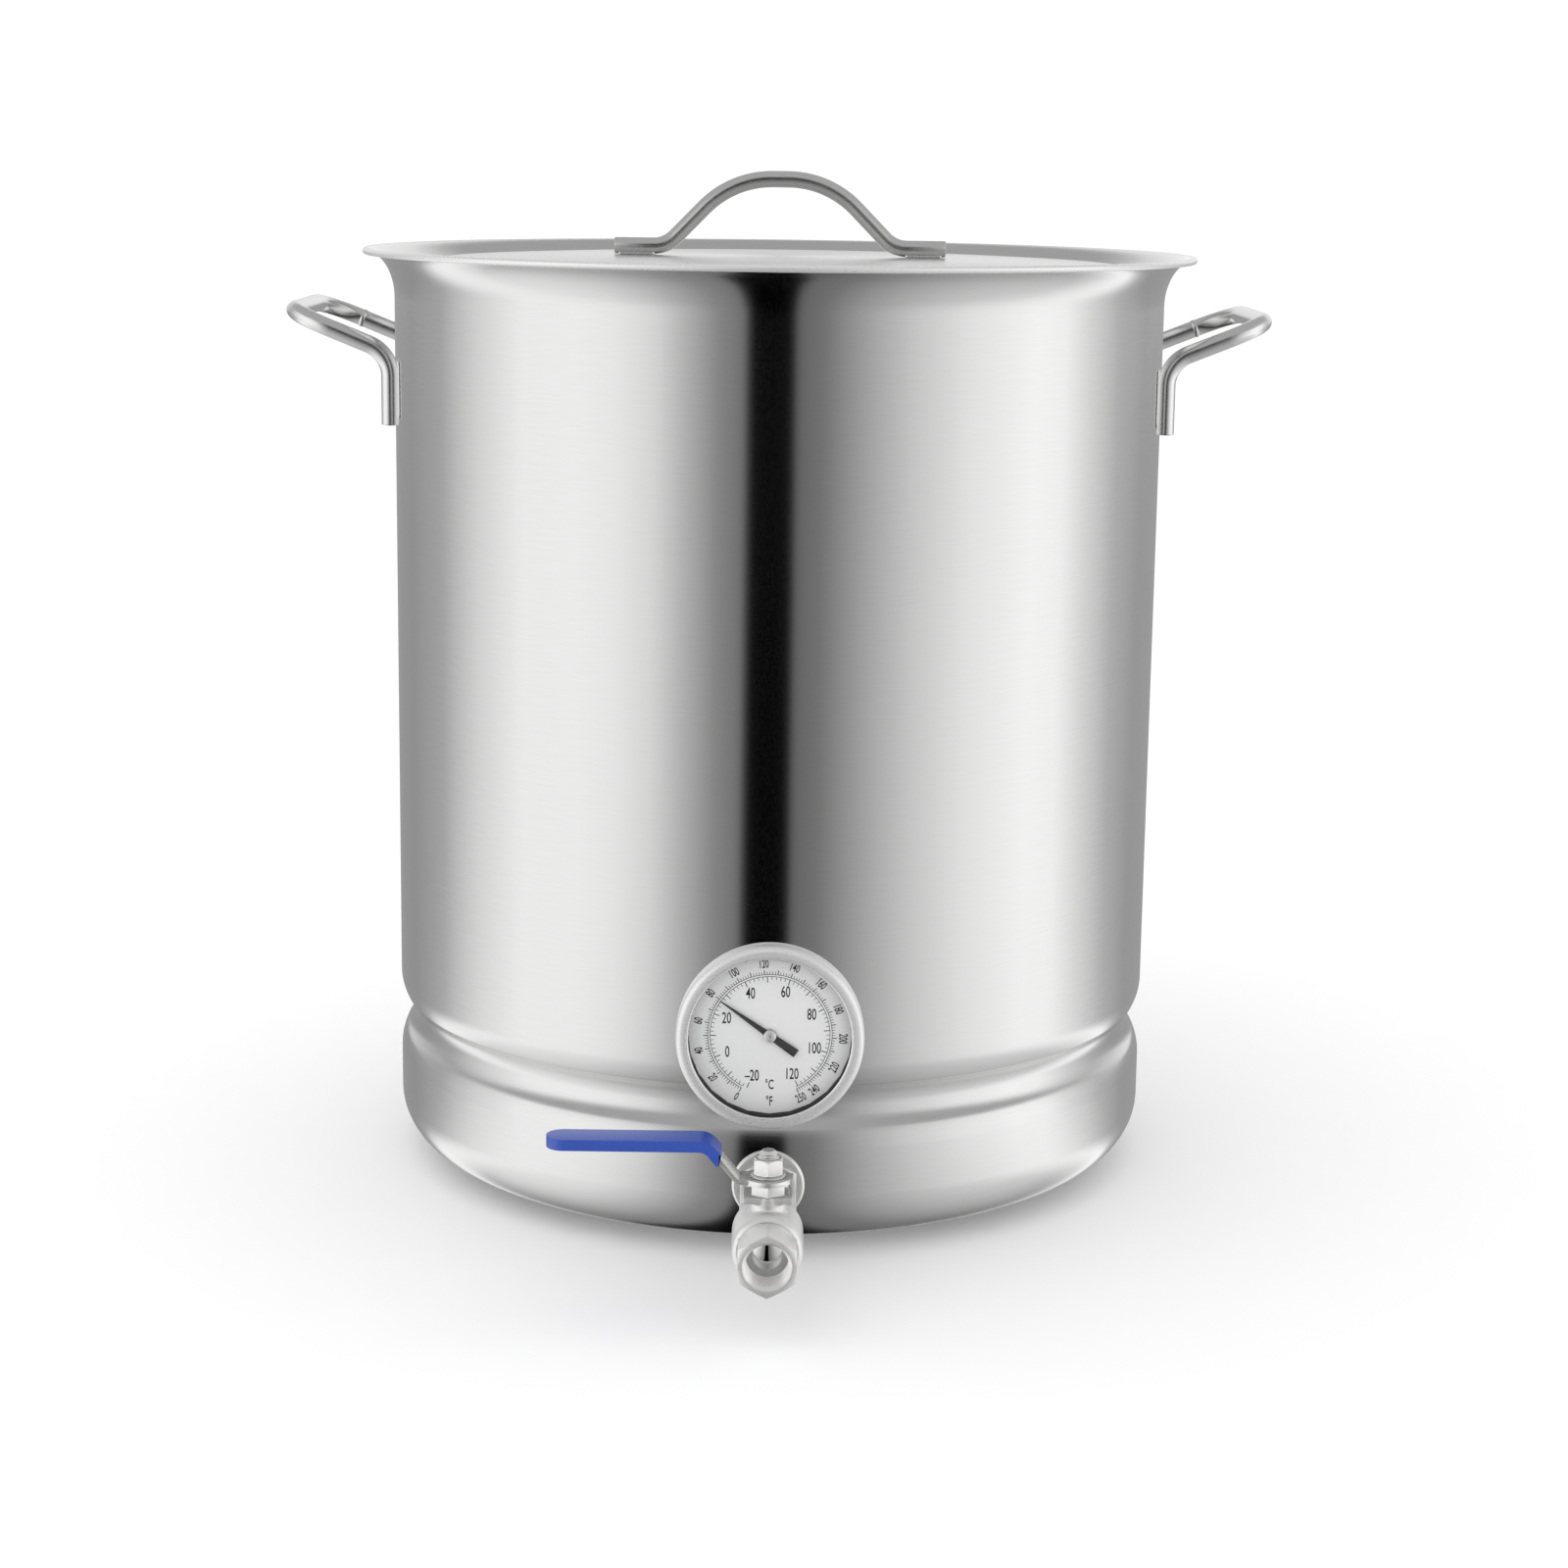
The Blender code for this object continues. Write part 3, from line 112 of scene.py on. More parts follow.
def start_from_point(name: str, place: Vector) -> Piece:
    """Start a piece as one point, selected in edit mode.

    Args:
        name: Name of the new piece.
        place: Where the point lies.

    Returns:
        The piece, still in edit mode.
    """
    clear_selection()
    bpy.ops.mesh.primitive_plane_add(size=0.001, location=place)
    piece = name_piece(name)
    bpy.ops.object.transform_apply(location=True, rotation=True, scale=True)
    bpy.ops.object.mode_set(mode="EDIT")
    bpy.ops.mesh.select_mode(type="VERT")
    bpy.ops.mesh.select_all(action="SELECT")
    bpy.ops.mesh.merge(type="CENTER")
    return piece


def extrude_by(step: Vector) -> None:
    """Extrude what is selected in edit mode."""
    bpy.ops.mesh.extrude_region_move(TRANSFORM_OT_translate={"value": tuple(step)})


def revolve(name: str, outline: Profile, steps: int = FITTING_STEPS) -> Piece:
    """Turn a closed outline about local Z, as on a lathe.

    Args:
        name: Name of the new piece.
        outline: Radius and height of each corner, in order.
        steps: Facets round the axis.

    Returns:
        A closed turned piece.
    """
    closed = outline + outline[:1]
    piece = start_from_point(name, Vector((closed[0][0], 0.0, closed[0][1])))
    for (radius, height), (next_radius, next_height) in zip(closed, closed[1:]):
        extrude_by(Vector((next_radius - radius, 0.0, next_height - height)))
    bpy.ops.mesh.select_all(action="SELECT")
    bpy.ops.mesh.remove_doubles(threshold=MERGE_DISTANCE)
    bpy.ops.mesh.select_all(action="SELECT")
    bpy.ops.mesh.spin(steps=steps, angle=math.tau, center=(0, 0, 0), axis=(0, 0, 1))
    bpy.ops.object.mode_set(mode="OBJECT")
    tidy_mesh(piece)
    return piece


def pin(name: str, radius: float, low: float, high: float,
        steps: int = FITTING_STEPS) -> Piece:
    """Turn a plain round tool about local Z, to be joined to or cut from another piece."""
    return revolve(name, [(0.0, low), (radius, low), (radius, high), (0.0, high)], steps)


def fillet(before: Vector, corner: Vector, after: Vector,
           bend: float) -> tuple[Vector, Vector, Vector, float]:
    """Work out the arc that rounds a corner.

    Args:
        before: Point before the corner.
        corner: The sharp corner.
        after: Point after the corner.
        bend: Radius of the arc.

    Returns:
        The arc's start, centre and axis, and the angle that it turns.
    """
    arriving = (corner - before).normalized()
    leaving = (after - corner).normalized()
    turning = arriving.angle(leaving)
    start = corner - arriving * (bend * math.tan(turning / 2))
    towards = (leaving - arriving).normalized()
    centre = corner + towards * (bend / math.cos(turning / 2))
    return start, centre, arriving.cross(leaving).normalized(), turning


def start_from_disc(name: str, place: Vector, heading: Vector, radius: float,
                    sides: int) -> Piece:
    """Start a piece as a round face across a heading, selected in edit mode."""
    clear_selection()
    turn = Vector((0, 0, 1)).rotation_difference(heading).to_euler()
    bpy.ops.mesh.primitive_circle_add(vertices=sides, radius=radius, fill_type="NGON",
                                      location=place, rotation=turn)
    piece = name_piece(name)
    bpy.ops.object.transform_apply(location=True, rotation=True, scale=True)
    bpy.ops.object.mode_set(mode="EDIT")
    bpy.ops.mesh.select_mode(type="FACE")
    bpy.ops.mesh.select_all(action="SELECT")
    return piece


def bent_bar(name: str, points: list[Vector], bends: list[float], radius: float,
             sides: int = 28, bend_steps: int = 12) -> Piece:
    """Draw out a round bar and bend it at each inner corner.

    Args:
        name: Name of the new piece.
        points: Ends and sharp corners of the bar's centre line.
        bends: Centre line radius at each inner corner.
        radius: Radius of the bar.
        sides: Facets round the bar.
        bend_steps: Facets along each bend.

    Returns:
        A closed bar with flat ends.
    """
    heading = (points[1] - points[0]).normalized()
    piece = start_from_disc(name, points[0], heading, radius, sides)
    here = points[0]
    for before, corner, after, bend in zip(points, points[1:], points[2:], bends):
        start, centre, axis, turning = fillet(before, corner, after, bend)
        extrude_by(start - here)
        bpy.ops.mesh.spin(steps=bend_steps, angle=-turning, center=centre, axis=axis)
        here = corner + (after - corner).normalized() * (bend * math.tan(turning / 2))
    extrude_by(points[-1] - here)
    bpy.ops.object.mode_set(mode="OBJECT")
    tidy_mesh(piece)
    return piece


def hexagon(name: str, flats: float, low: float, high: float) -> Piece:
    """Cut a hexagonal blank along local Z.

    Args:
        name: Name of the new piece.
        flats: Width across flats.
        low: Lower end.
        high: Upper end.

    Returns:
        The blank, with a corner on local +Y.
    """
    clear_selection()
    bpy.ops.mesh.primitive_cylinder_add(vertices=6, radius=flats / math.sqrt(3),
                                        depth=high - low, location=(0, 0, (low + high) / 2))
    piece = name_piece(name)
    apply_place(piece)
    return piece


def slab(name: str, low: tuple[float, float, float], high: tuple[float, float, float]) -> Piece:
    """Cut a square block between two corners, to be joined to or cut from another piece."""
    clear_selection()
    low_corner, high_corner = Vector(low), Vector(high)
    bpy.ops.mesh.primitive_cube_add(size=1.0, location=(low_corner + high_corner) / 2,
                                    scale=high_corner - low_corner)
    piece = name_piece(name)
    apply_place(piece)
    return piece


def apply_modifier(piece: Piece, kind: str, **settings: object) -> None:
    """Add a modifier to a piece and apply it at once.

    Args:
        piece: The piece to change.
        kind: Blender's name for the modifier type.
        **settings: Values of the modifier's properties.
    """
    pick(piece)
    modifier = piece.modifiers.new(kind.lower(), kind)
    for key, value in settings.items():
        setattr(modifier, key, value)
    bpy.ops.object.modifier_apply(modifier=modifier.name)


def boolean(piece: Piece, tool: Piece, operation: str) -> None:
    """Join, cut or trim a piece with a tool, which is then thrown away."""
    apply_modifier(piece, "BOOLEAN", operation=operation, solver="EXACT", object=tool)
    bpy.data.objects.remove(tool, do_unlink=True)


def soften(piece: Piece, width: float, segments: int = 2, angle: float = 30.0) -> None:
    """Round every edge that is sharper than an angle in degrees."""
    apply_modifier(piece, "BEVEL", width=width, segments=segments, limit_method="ANGLE",
                   angle_limit=math.radians(angle), harden_normals=False)


def cast_smooth(piece: Piece, grain: float, passes: int) -> None:
    """Blend a built-up shape as a casting, then relax its surface.

    Args:
        piece: The piece to change.
        grain: Voxel size.
        passes: Smoothing passes.
    """
    apply_modifier(piece, "REMESH", mode="VOXEL", voxel_size=grain)
    apply_modifier(piece, "SMOOTH", factor=0.5, iterations=passes)


def join_pieces(name: str, pieces: list[Piece]) -> Piece:
    """Make several separate shapes one piece."""
    pick(pieces[0])
    for piece in pieces[1:]:
        piece.select_set(True)
    if len(pieces) > 1:
        bpy.ops.object.join()
    return name_piece(name)


def face_front(piece: Piece, height: float) -> Piece:
    """Turn a piece drawn along local Z to face -Y, at a height on the kettle's axis."""
    apply_place(piece)
    piece.rotation_euler = (math.pi / 2, 0.0, 0.0)
    piece.location = (0.0, 0.0, height)
    apply_place(piece)
    return piece


def move_piece(piece: Piece, place: Vector) -> Piece:
    """Move a piece and keep its origin on the frame's."""
    piece.location = place
    apply_place(piece)
    return piece


def thread(crest: float, depth: float, low: float, high: float, pitch: float) -> Profile:
    """Draw the ridges of a thread as an outline from low to high.

    Args:
        crest: Radius at the crests.
        depth: How far a root lies from a crest, negative for a root outside it.
        low: Where the thread starts.
        high: Where it ends.
        pitch: Distance between crests.

    Returns:
        Corners of the ridges.
    """
    count = max(1, round((high - low) / pitch))
    step = (high - low) / count
    ridge: Profile = []
    for index in range(count):
        base = low + index * step
        ridge += [(crest - depth, base), (crest, base + 0.40 * step),
                  (crest, base + 0.60 * step)]
    return ridge + [(crest - depth, high)]


def corner_trim(name: str, radius: float, face: float, depth: float, way: int = 1) -> Piece:
    """Turn the cone that takes a hexagon's corners off near one face.

    Args:
        name: Name of the tool.
        radius: Radius of the round that is left on the face.
        face: Height of the face.
        depth: How far back the cone widens.
        way: 1 for an upper face and -1 for a lower one.

    Returns:
        A solid to intersect the hexagon with.
    """
    reach = 0.0040
    wide = radius + reach * depth
    return revolve(name, [(0.0, face), (radius, face), (wide, face - way * reach),
                          (wide, face - way * 0.060), (0.0, face - way * 0.060)])


def trim_corners(piece: Piece, radius: float, face: float, depth: float,
                 way: int = 1) -> None:
    """Take a hexagon's corners off near one face, as corner_trim says."""
    boolean(piece, corner_trim("trim", radius, face, depth, way), "INTERSECT")


# Finishes

def wire(tree: NodeTree, kind: str, inputs: dict, output: str | int = 0,
         **settings: object) -> Socket:
    """Add a shader node and set or link its inputs.

    Args:
        tree: The node tree.
        kind: Blender's name for the node type, after its prefix.
        inputs: A value or another node's output for each input, by name or number.
        output: Name or number of the output to return.
        **settings: Values of the node's properties.

    Returns:
        One of the node's outputs.
    """
    node = tree.nodes.new(f"ShaderNode{kind}")
    for key, value in settings.items():
        setattr(node, key, value)
    for key, value in inputs.items():
        if isinstance(value, Socket):
            tree.links.new(value, node.inputs[key])
        else:
            node.inputs[key].default_value = value
    return node.outputs[output]


class Grain(Enum):
    """Which fine marks a surface carries."""

    HAIRLINES = "fine lines round the upright axis"
    SCUFFS = "faint drawn scuffs"
    CAST = "tumbled casting"
    MOULDED = "moulded or sprayed"


@dataclass(frozen=True)
class Finish:
    """Surface with marks in its colour, its gloss and its relief."""

    name: str
    color: Color
    roughness: float
    metallic: float = 1.0
    grain: Grain = Grain.SCUFFS
    marks: float = 400.0            # marks in a metre
    color_spread: float = 0.04
    roughness_spread: float = 0.05
    relief: float = 0.0
    anisotropy: float = 0.0
    lines: float = 14.0             # how often a hairline breaks in a metre
    coat: float = 0.0
    specular: float = 0.5
    smudges: float = 0.02           # slow drift of the gloss over a hand's width

    def make(self) -> Material:
        """Build the material's nodes.

        Returns:
            The new material.
        """
        material = bpy.data.materials.new(self.name)
        material.use_nodes = True
        tree = material.node_tree
        shader = tree.nodes["Principled BSDF"]
        marks = self.mark_nodes(tree)
        tint = tree.nodes.new("ShaderNodeValToRGB")
        dark = [channel * (1 - self.color_spread) for channel in self.color]
        light = [min(1.0, channel * (1 + self.color_spread)) for channel in self.color]
        tint.color_ramp.elements[0].position = 0.30
        tint.color_ramp.elements[0].color = (*dark, 1.0)
        tint.color_ramp.elements[1].position = 0.70
        tint.color_ramp.elements[1].color = (*light, 1.0)
        tree.links.new(marks, tint.inputs["Fac"])
        tree.links.new(tint.outputs["Color"], shader.inputs["Base Color"])
        tree.links.new(self.gloss_nodes(tree, marks), shader.inputs["Roughness"])
        shader.inputs["Metallic"].default_value = self.metallic
        shader.inputs["Specular IOR Level"].default_value = self.specular
        shader.inputs["Coat Weight"].default_value = self.coat
        shader.inputs["Coat Roughness"].default_value = 0.12
        if self.relief > 0:
            bump = wire(tree, "Bump", {"Distance": self.relief, "Height": marks})
            tree.links.new(bump, shader.inputs["Normal"])
        if self.anisotropy > 0:
            tangent = wire(tree, "Tangent", {}, direction_type="RADIAL", axis="Z")
            shader.inputs["Anisotropic"].default_value = self.anisotropy
            shader.inputs["Anisotropic Rotation"].default_value = 0.25
            tree.links.new(tangent, shader.inputs["Tangent"])
        return material

    def mark_nodes(self, tree: NodeTree) -> Socket:
        """Draw the fine marks.

        Args:
            tree: The material's node tree.

        Returns:
            A value from 0 to 1.
        """
        place = wire(tree, "TexCoord", {}, "Object")
        if self.grain is Grain.HAIRLINES:
            pattern = self.hairline_nodes(tree, place)
        else:
            stretch = (0.25, 0.6, 1.0) if self.grain is Grain.SCUFFS else (1.0, 1.0, 1.0)
            scale = [self.marks * part for part in stretch]
            pattern = wire(tree, "Mapping", {"Vector": place, "Scale": scale})
        return wire(tree, "TexNoise", {"Vector": pattern, "Scale": 1.0, "Detail": 3.0,
                                       "Roughness": 0.6}, "Fac")

    def hairline_nodes(self, tree: NodeTree,
                       place: Socket) -> Socket:
        """Stretch the pattern round the upright axis.

        Args:
            tree: The material's node tree.
            place: The surface point.

        Returns:
            A vector that changes fast across the lines and slowly along them.
        """
        split = wire(tree, "SeparateXYZ", {"Vector": place}).node.outputs
        flat = wire(tree, "CombineXYZ", {"X": split["X"], "Y": split["Y"]})
        radius = wire(tree, "VectorMath", {0: flat}, "Value", operation="LENGTH")
        across = wire(tree, "Math", {0: radius, 1: split["Z"]}, operation="ADD")
        fine = wire(tree, "Math", {0: across, 1: self.marks}, operation="MULTIPLY")
        lift = wire(tree, "CombineXYZ", {"Z": fine})
        slow = wire(tree, "VectorMath", {0: flat, "Scale": self.lines}, operation="SCALE")
        return wire(tree, "VectorMath", {0: slow, 1: lift}, operation="ADD")

    def gloss_nodes(self, tree: NodeTree,
                    marks: Socket) -> Socket:
        """Vary the roughness with the marks and with slow smudges.

        Args:
            tree: The material's node tree.
            marks: The fine marks.

        Returns:
            The roughness.
        """
        fine = wire(tree, "MapRange", {
            "Value": marks, "From Min": 0.3, "From Max": 0.7,
            "To Min": max(0.02, self.roughness - self.roughness_spread),
            "To Max": self.roughness + self.roughness_spread}, "Result")
        cloud = wire(tree, "TexNoise", {"Vector": wire(tree, "TexCoord", {}, "Object"),
                                        "Scale": 9.0, "Detail": 2.0}, "Fac")
        return wire(tree, "Math", {0: cloud, 1: 2 * self.smudges, 2: fine},
                    operation="MULTIPLY_ADD")


@dataclass(frozen=True)
class ClearGlass:
    """Clear cover glass: see-through, with a reflection that grows at grazing angles."""

    name: str = "clear_glass"
    roughness: float = 0.02
    head_on: float = 0.04           # share that reflects when seen straight on

    def make(self) -> Material:
        """Build the material's nodes.

        Returns:
            The new material.
        """
        material = bpy.data.materials.new(self.name)
        material.use_nodes = True
        tree = material.node_tree
        tree.nodes.remove(tree.nodes["Principled BSDF"])
        clear = wire(tree, "BsdfTransparent", {"Color": (0.995, 0.997, 0.997, 1.0)})
        gloss = wire(tree, "BsdfGlossy", {"Roughness": self.roughness})
        slant = wire(tree, "LayerWeight", {}, "Facing")
        rise = wire(tree, "Math", {0: slant, 1: 5.0}, operation="POWER")
        share = wire(tree, "Math", {0: rise, 1: 1.0 - self.head_on, 2: self.head_on},
                     operation="MULTIPLY_ADD")
        mix = wire(tree, "MixShader", {"Fac": share, 1: clear, 2: gloss})
        tree.links.new(mix, tree.nodes["Material Output"].inputs["Surface"])
        return material


STEEL = (0.74, 0.74, 0.735)


class Palette:
    """Every finish on the kettle, made once."""

    def __init__(self) -> None:
        """Make the materials."""
        self.pot = Finish("brushed_pot", STEEL, 0.15, grain=Grain.HAIRLINES, marks=2400.0,
                          lines=70.0, color_spread=0.02, roughness_spread=0.012,
                          relief=0.0000025, anisotropy=1.0, smudges=0.006).make()
        self.sheet = Finish("satin_sheet", STEEL, 0.26, grain=Grain.HAIRLINES,
                            marks=1900.0, lines=50.0, color_spread=0.03,
                            roughness_spread=0.03, relief=0.000002, anisotropy=0.7).make()
        self.rod = Finish("polished_rod", (0.80, 0.80, 0.795), 0.21, marks=900.0,
                          color_spread=0.02, roughness_spread=0.03, relief=0.000004).make()
        self.casting = Finish("tumbled_casting", (0.82, 0.815, 0.805), 0.32, metallic=0.65,
                              grain=Grain.CAST, marks=420.0, color_spread=0.02,
                              roughness_spread=0.04, relief=0.00002).make()
        self.machined = Finish("machined_steel", (0.80, 0.795, 0.785), 0.24, metallic=0.75,
                               marks=1400.0, color_spread=0.04, roughness_spread=0.05,
                               relief=0.000008).make()
        self.mirror = Finish("mirror_ball", (0.86, 0.86, 0.86), 0.04, marks=700.0,
                             color_spread=0.01, roughness_spread=0.01, smudges=0.01).make()
        self.bezel = Finish("satin_bezel", (0.80, 0.80, 0.795), 0.28, metallic=0.55,
                            marks=1600.0, color_spread=0.02, roughness_spread=0.04,
                            relief=0.000006).make()
        self.aluminium = Finish("plain_aluminium", (0.70, 0.71, 0.73), 0.42,
                                grain=Grain.HAIRLINES, marks=900.0).make()
        self.bimetal = Finish("bimetal_strip", (0.62, 0.50, 0.36), 0.32, marks=1200.0).make()
        self.silicone = Finish("pale_silicone", (0.74, 0.73, 0.69), 0.50, metallic=0.0,
                               grain=Grain.MOULDED, marks=900.0, relief=0.00001).make()
        self.soft_white = Finish("white_seat", (0.84, 0.84, 0.82), 0.38, metallic=0.0,
                                 grain=Grain.MOULDED, marks=1100.0, color_spread=0.02).make()
        # Black of the lens gasket; also painted shade: it stands in for the shaded inner wall of
        # the bezel's opening.
        self.rubber = Finish("black_gasket_and_painted_shade", (0.028, 0.028, 0.028), 0.55, metallic=0.0,
                             grain=Grain.MOULDED, marks=1000.0, relief=0.00001).make()
        self.enamel = Finish("dial_enamel", (0.88, 0.88, 0.87), 0.42, metallic=0.0,
                             grain=Grain.MOULDED, marks=1500.0, color_spread=0.012,
                             relief=0.000003).make()
        self.ink = Finish("dial_ink", (0.022, 0.022, 0.024), 0.45, metallic=0.0,
                          grain=Grain.MOULDED, marks=2200.0, color_spread=0.15).make()
        self.pointer = Finish("pointer_paint", (0.050, 0.050, 0.053), 0.40, metallic=0.0,
                              grain=Grain.MOULDED, marks=1800.0, color_spread=0.12,
                              relief=0.000004).make()
        self.vinyl = Finish("blue_vinyl", (0.026, 0.075, 0.40), 0.30, metallic=0.0,
                            grain=Grain.MOULDED, marks=1300.0, color_spread=0.06,
                            roughness_spread=0.06, relief=0.000012, coat=0.25).make()
        self.glass = ClearGlass().make()


def hand_over(piece: Piece, material: Material, body: str, stands_for: tuple[str, ...],
              mirrored: bool = False) -> Piece:
    """Finish a piece and give it to the frame.

    Args:
        piece: The piece, in its place.
        material: What it is dressed in.
        body: The body that it rides on.
        stands_for: CAD nodes that it replaces.
        mirrored: Whether other bright pieces show it in their reflections.

    Returns:
        The same piece.
    """
    apply_place(piece)
    piece.visible_glossy = mirrored
    bpy.ops.object.shade_smooth_by_angle(angle=SMOOTH_ANGLE)
    piece.data.materials.clear()
    piece.data.materials.append(material)
    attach(piece, body)
    if stands_for:
        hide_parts(*stands_for)
    LOG.info("%s: %d faces on %s", piece.name, len(piece.data.polygons), body)
    return piece


def dress_node(node: str, material: Material) -> None:
    """Give a CAD node whose shape is right a finished material."""
    kept = bpy.data.objects[node]
    kept.visible_glossy = False
    for place in kept.material_slots:
        place.material = material
    LOG.info("%s keeps its shape", node)


def middle(node: str) -> Vector:
    """Return the middle of a CAD node's box."""
    low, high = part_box(node)
    return (Vector(low) + Vector(high)) / 2


def span(node: str) -> tuple[float, float]:
    """Return how far a CAD node's back and its front lie from the kettle's axis."""
    low, high = (Vector(corner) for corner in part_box(node))
    return -high.y, -low.y


# Pot

@dataclass
class Pot:
    """Flared and beaded pot with a hemmed rim, on a layered base."""

    radius: float = 0.200
    height: float = 0.480
    wall: float = 0.0012
    corner_radius: float = 0.028
    flare_width: float = 0.0160
    flare_height: float = 0.024
    flare_lean: float = math.radians(78)
    hem_radius: float = 0.0016
    bead_proud: float = 0.0001      # how far the paler sleeve that paints the hem's highlight stands out of the hem
    bead_z: float = 0.0768
    bead_chord: float = 0.0204
    bead_depth: float = 0.0045
    shoulder_dip: float = 0.0028
    shoulder_height: float = 0.011
    underside: float = 0.0052
    cap_radius: float = 0.1562
    cap_height: float = 0.0049
    cap_thickness: float = 0.0006
    hole_radius: float = 0.0105
    hole_reach: float = 0.015       # how far the drill passes on each side of the wall
    wall_rows: tuple[float, ...] = (0.42, 0.38, 0.34, 0.30, 0.26, 0.22, 0.18, 0.148, 0.104)
    steps: int = 192

    def outer_path(self) -> Profile:
        """Draw the outside from below the rim to the middle of the base."""
        path: Profile = []
        flare_steps, dip_steps, arc_steps, corner_steps = 16, 8, 16, 12
        for step in range(flare_steps + 1):
            angle = self.flare_lean * (1 - step / flare_steps)
            path.append((self.radius + self.flare_width * (1 - math.cos(angle)),
                         self.height - self.wall
                         - self.flare_height * (1 - math.sin(angle))))
        path += [(self.radius, row) for row in self.wall_rows]
        edge = self.bead_chord / 2
        for step in range(dip_steps):
            share = step / dip_steps
            path.append((self.radius - self.shoulder_dip * share**2,
                         self.bead_z + edge + self.shoulder_height * (1 - share)))
        arc_radius = self.bead_chord**2 / (8 * self.bead_depth) + self.bead_depth / 2
        half_angle = math.asin(edge / arc_radius)
        for step in range(arc_steps + 1):
            angle = half_angle * (1 - 2 * step / arc_steps)
            depth = (self.shoulder_dip + arc_radius * math.cos(angle)
                     - (arc_radius - self.bead_depth))
            path.append((self.radius - depth, self.bead_z + arc_radius * math.sin(angle)))
        for step in range(dip_steps - 1, -1, -1):
            share = step / dip_steps
            path.append((self.radius - self.shoulder_dip * share**2,
                         self.bead_z - edge - self.shoulder_height * (1 - share)))
        for step in range(corner_steps + 1):
            angle = math.pi / 2 * step / corner_steps
            path.append((self.radius - self.corner_radius * (1 - math.cos(angle)),
                         self.underside + self.corner_radius * (1 - math.sin(angle))))
        path.append((0.0, self.underside))
        return path

    def inner_path(self) -> Profile:
        """Return the outside moved inwards by the wall."""
        outer = self.outer_path()
        moved: Profile = []
        for index, point in enumerate(outer):
            here = Vector(point)
            before = Vector(outer[max(index - 1, 0)])
            after = Vector(outer[min(index + 1, len(outer) - 1)])
            headings = [way.normalized() for way in (here - before, after - here)
                        if way.length > 0]
            normals = [Vector((way.y, -way.x)) for way in headings]
            mean = sum(normals, Vector((0.0, 0.0))).normalized()
            moved.append(tuple(here + mean * (self.wall / mean.dot(normals[0]))))
        return moved

    def hem(self) -> Profile:
        """Draw the rolled edge from its underside round to its top."""
        steps = 14
        start, end = math.radians(-120), math.radians(95)
        middle_radius = self.radius + self.flare_width - self.hem_radius
        middle_height = self.height - self.hem_radius
        return [(middle_radius + self.hem_radius * math.cos(start + (end - start) * part / steps),
                 middle_height + self.hem_radius * math.sin(start + (end - start) * part / steps))
                for part in range(steps + 1)]

    def build(self, palette: Palette) -> None:
        """Model and dress the pot and its base."""
        outline = list(reversed(self.outer_path())) + self.hem() + self.inner_path()
        shell = revolve("pot_shell", outline, self.steps)
        for node in ("bulkhead_nipple", "thermo_fitting"):
            drill = pin("wall_drill", self.hole_radius, self.radius - self.hole_reach,
                        self.radius + self.hole_reach)
            boolean(shell, face_front(drill, middle(node).z), "DIFFERENCE")
        hand_over(shell, palette.pot, "kettle", ("kettle_shell",), mirrored=True)
        # A paler sleeve over the hem paints its highlight line.
        self.rim(palette)
        inner = self.cap_radius - self.cap_thickness
        cap = revolve("base_disc", [
            (0.0, 0.0), (self.cap_radius - 0.0016, 0.0), (self.cap_radius - 0.0005, 0.0005),
            (self.cap_radius, 0.0016), (self.cap_radius, self.cap_height - 0.0002),
            (self.cap_radius - 0.0002, self.cap_height), (inner, self.cap_height),
            (inner, self.cap_thickness), (0.0, self.cap_thickness)], self.steps)
        hand_over(cap, palette.sheet, "kettle", ("base_cap",), mirrored=True)
        dress_node("base_core", palette.aluminium)

    def rim(self, palette: Palette) -> None:
        """Model a thin sleeve over the hem in the paler satin finish: a painted highlight that
        makes the hem read as a bright line.
        """
        middle_radius = self.radius + self.flare_width - self.hem_radius
        middle_height = self.height - self.hem_radius
        size = self.hem_radius + self.bead_proud
        steps = 20
        outline = [(middle_radius + size * math.cos(math.tau * part / steps),
                    middle_height + size * math.sin(math.tau * part / steps))
                   for part in range(steps)]
        # The sleeve wears the paler, less metallic bezel finish, so the hem shows a painted
        # highlight.
        hand_over(revolve("pot_rim_highlight", outline, self.steps), palette.bezel, "kettle", ())


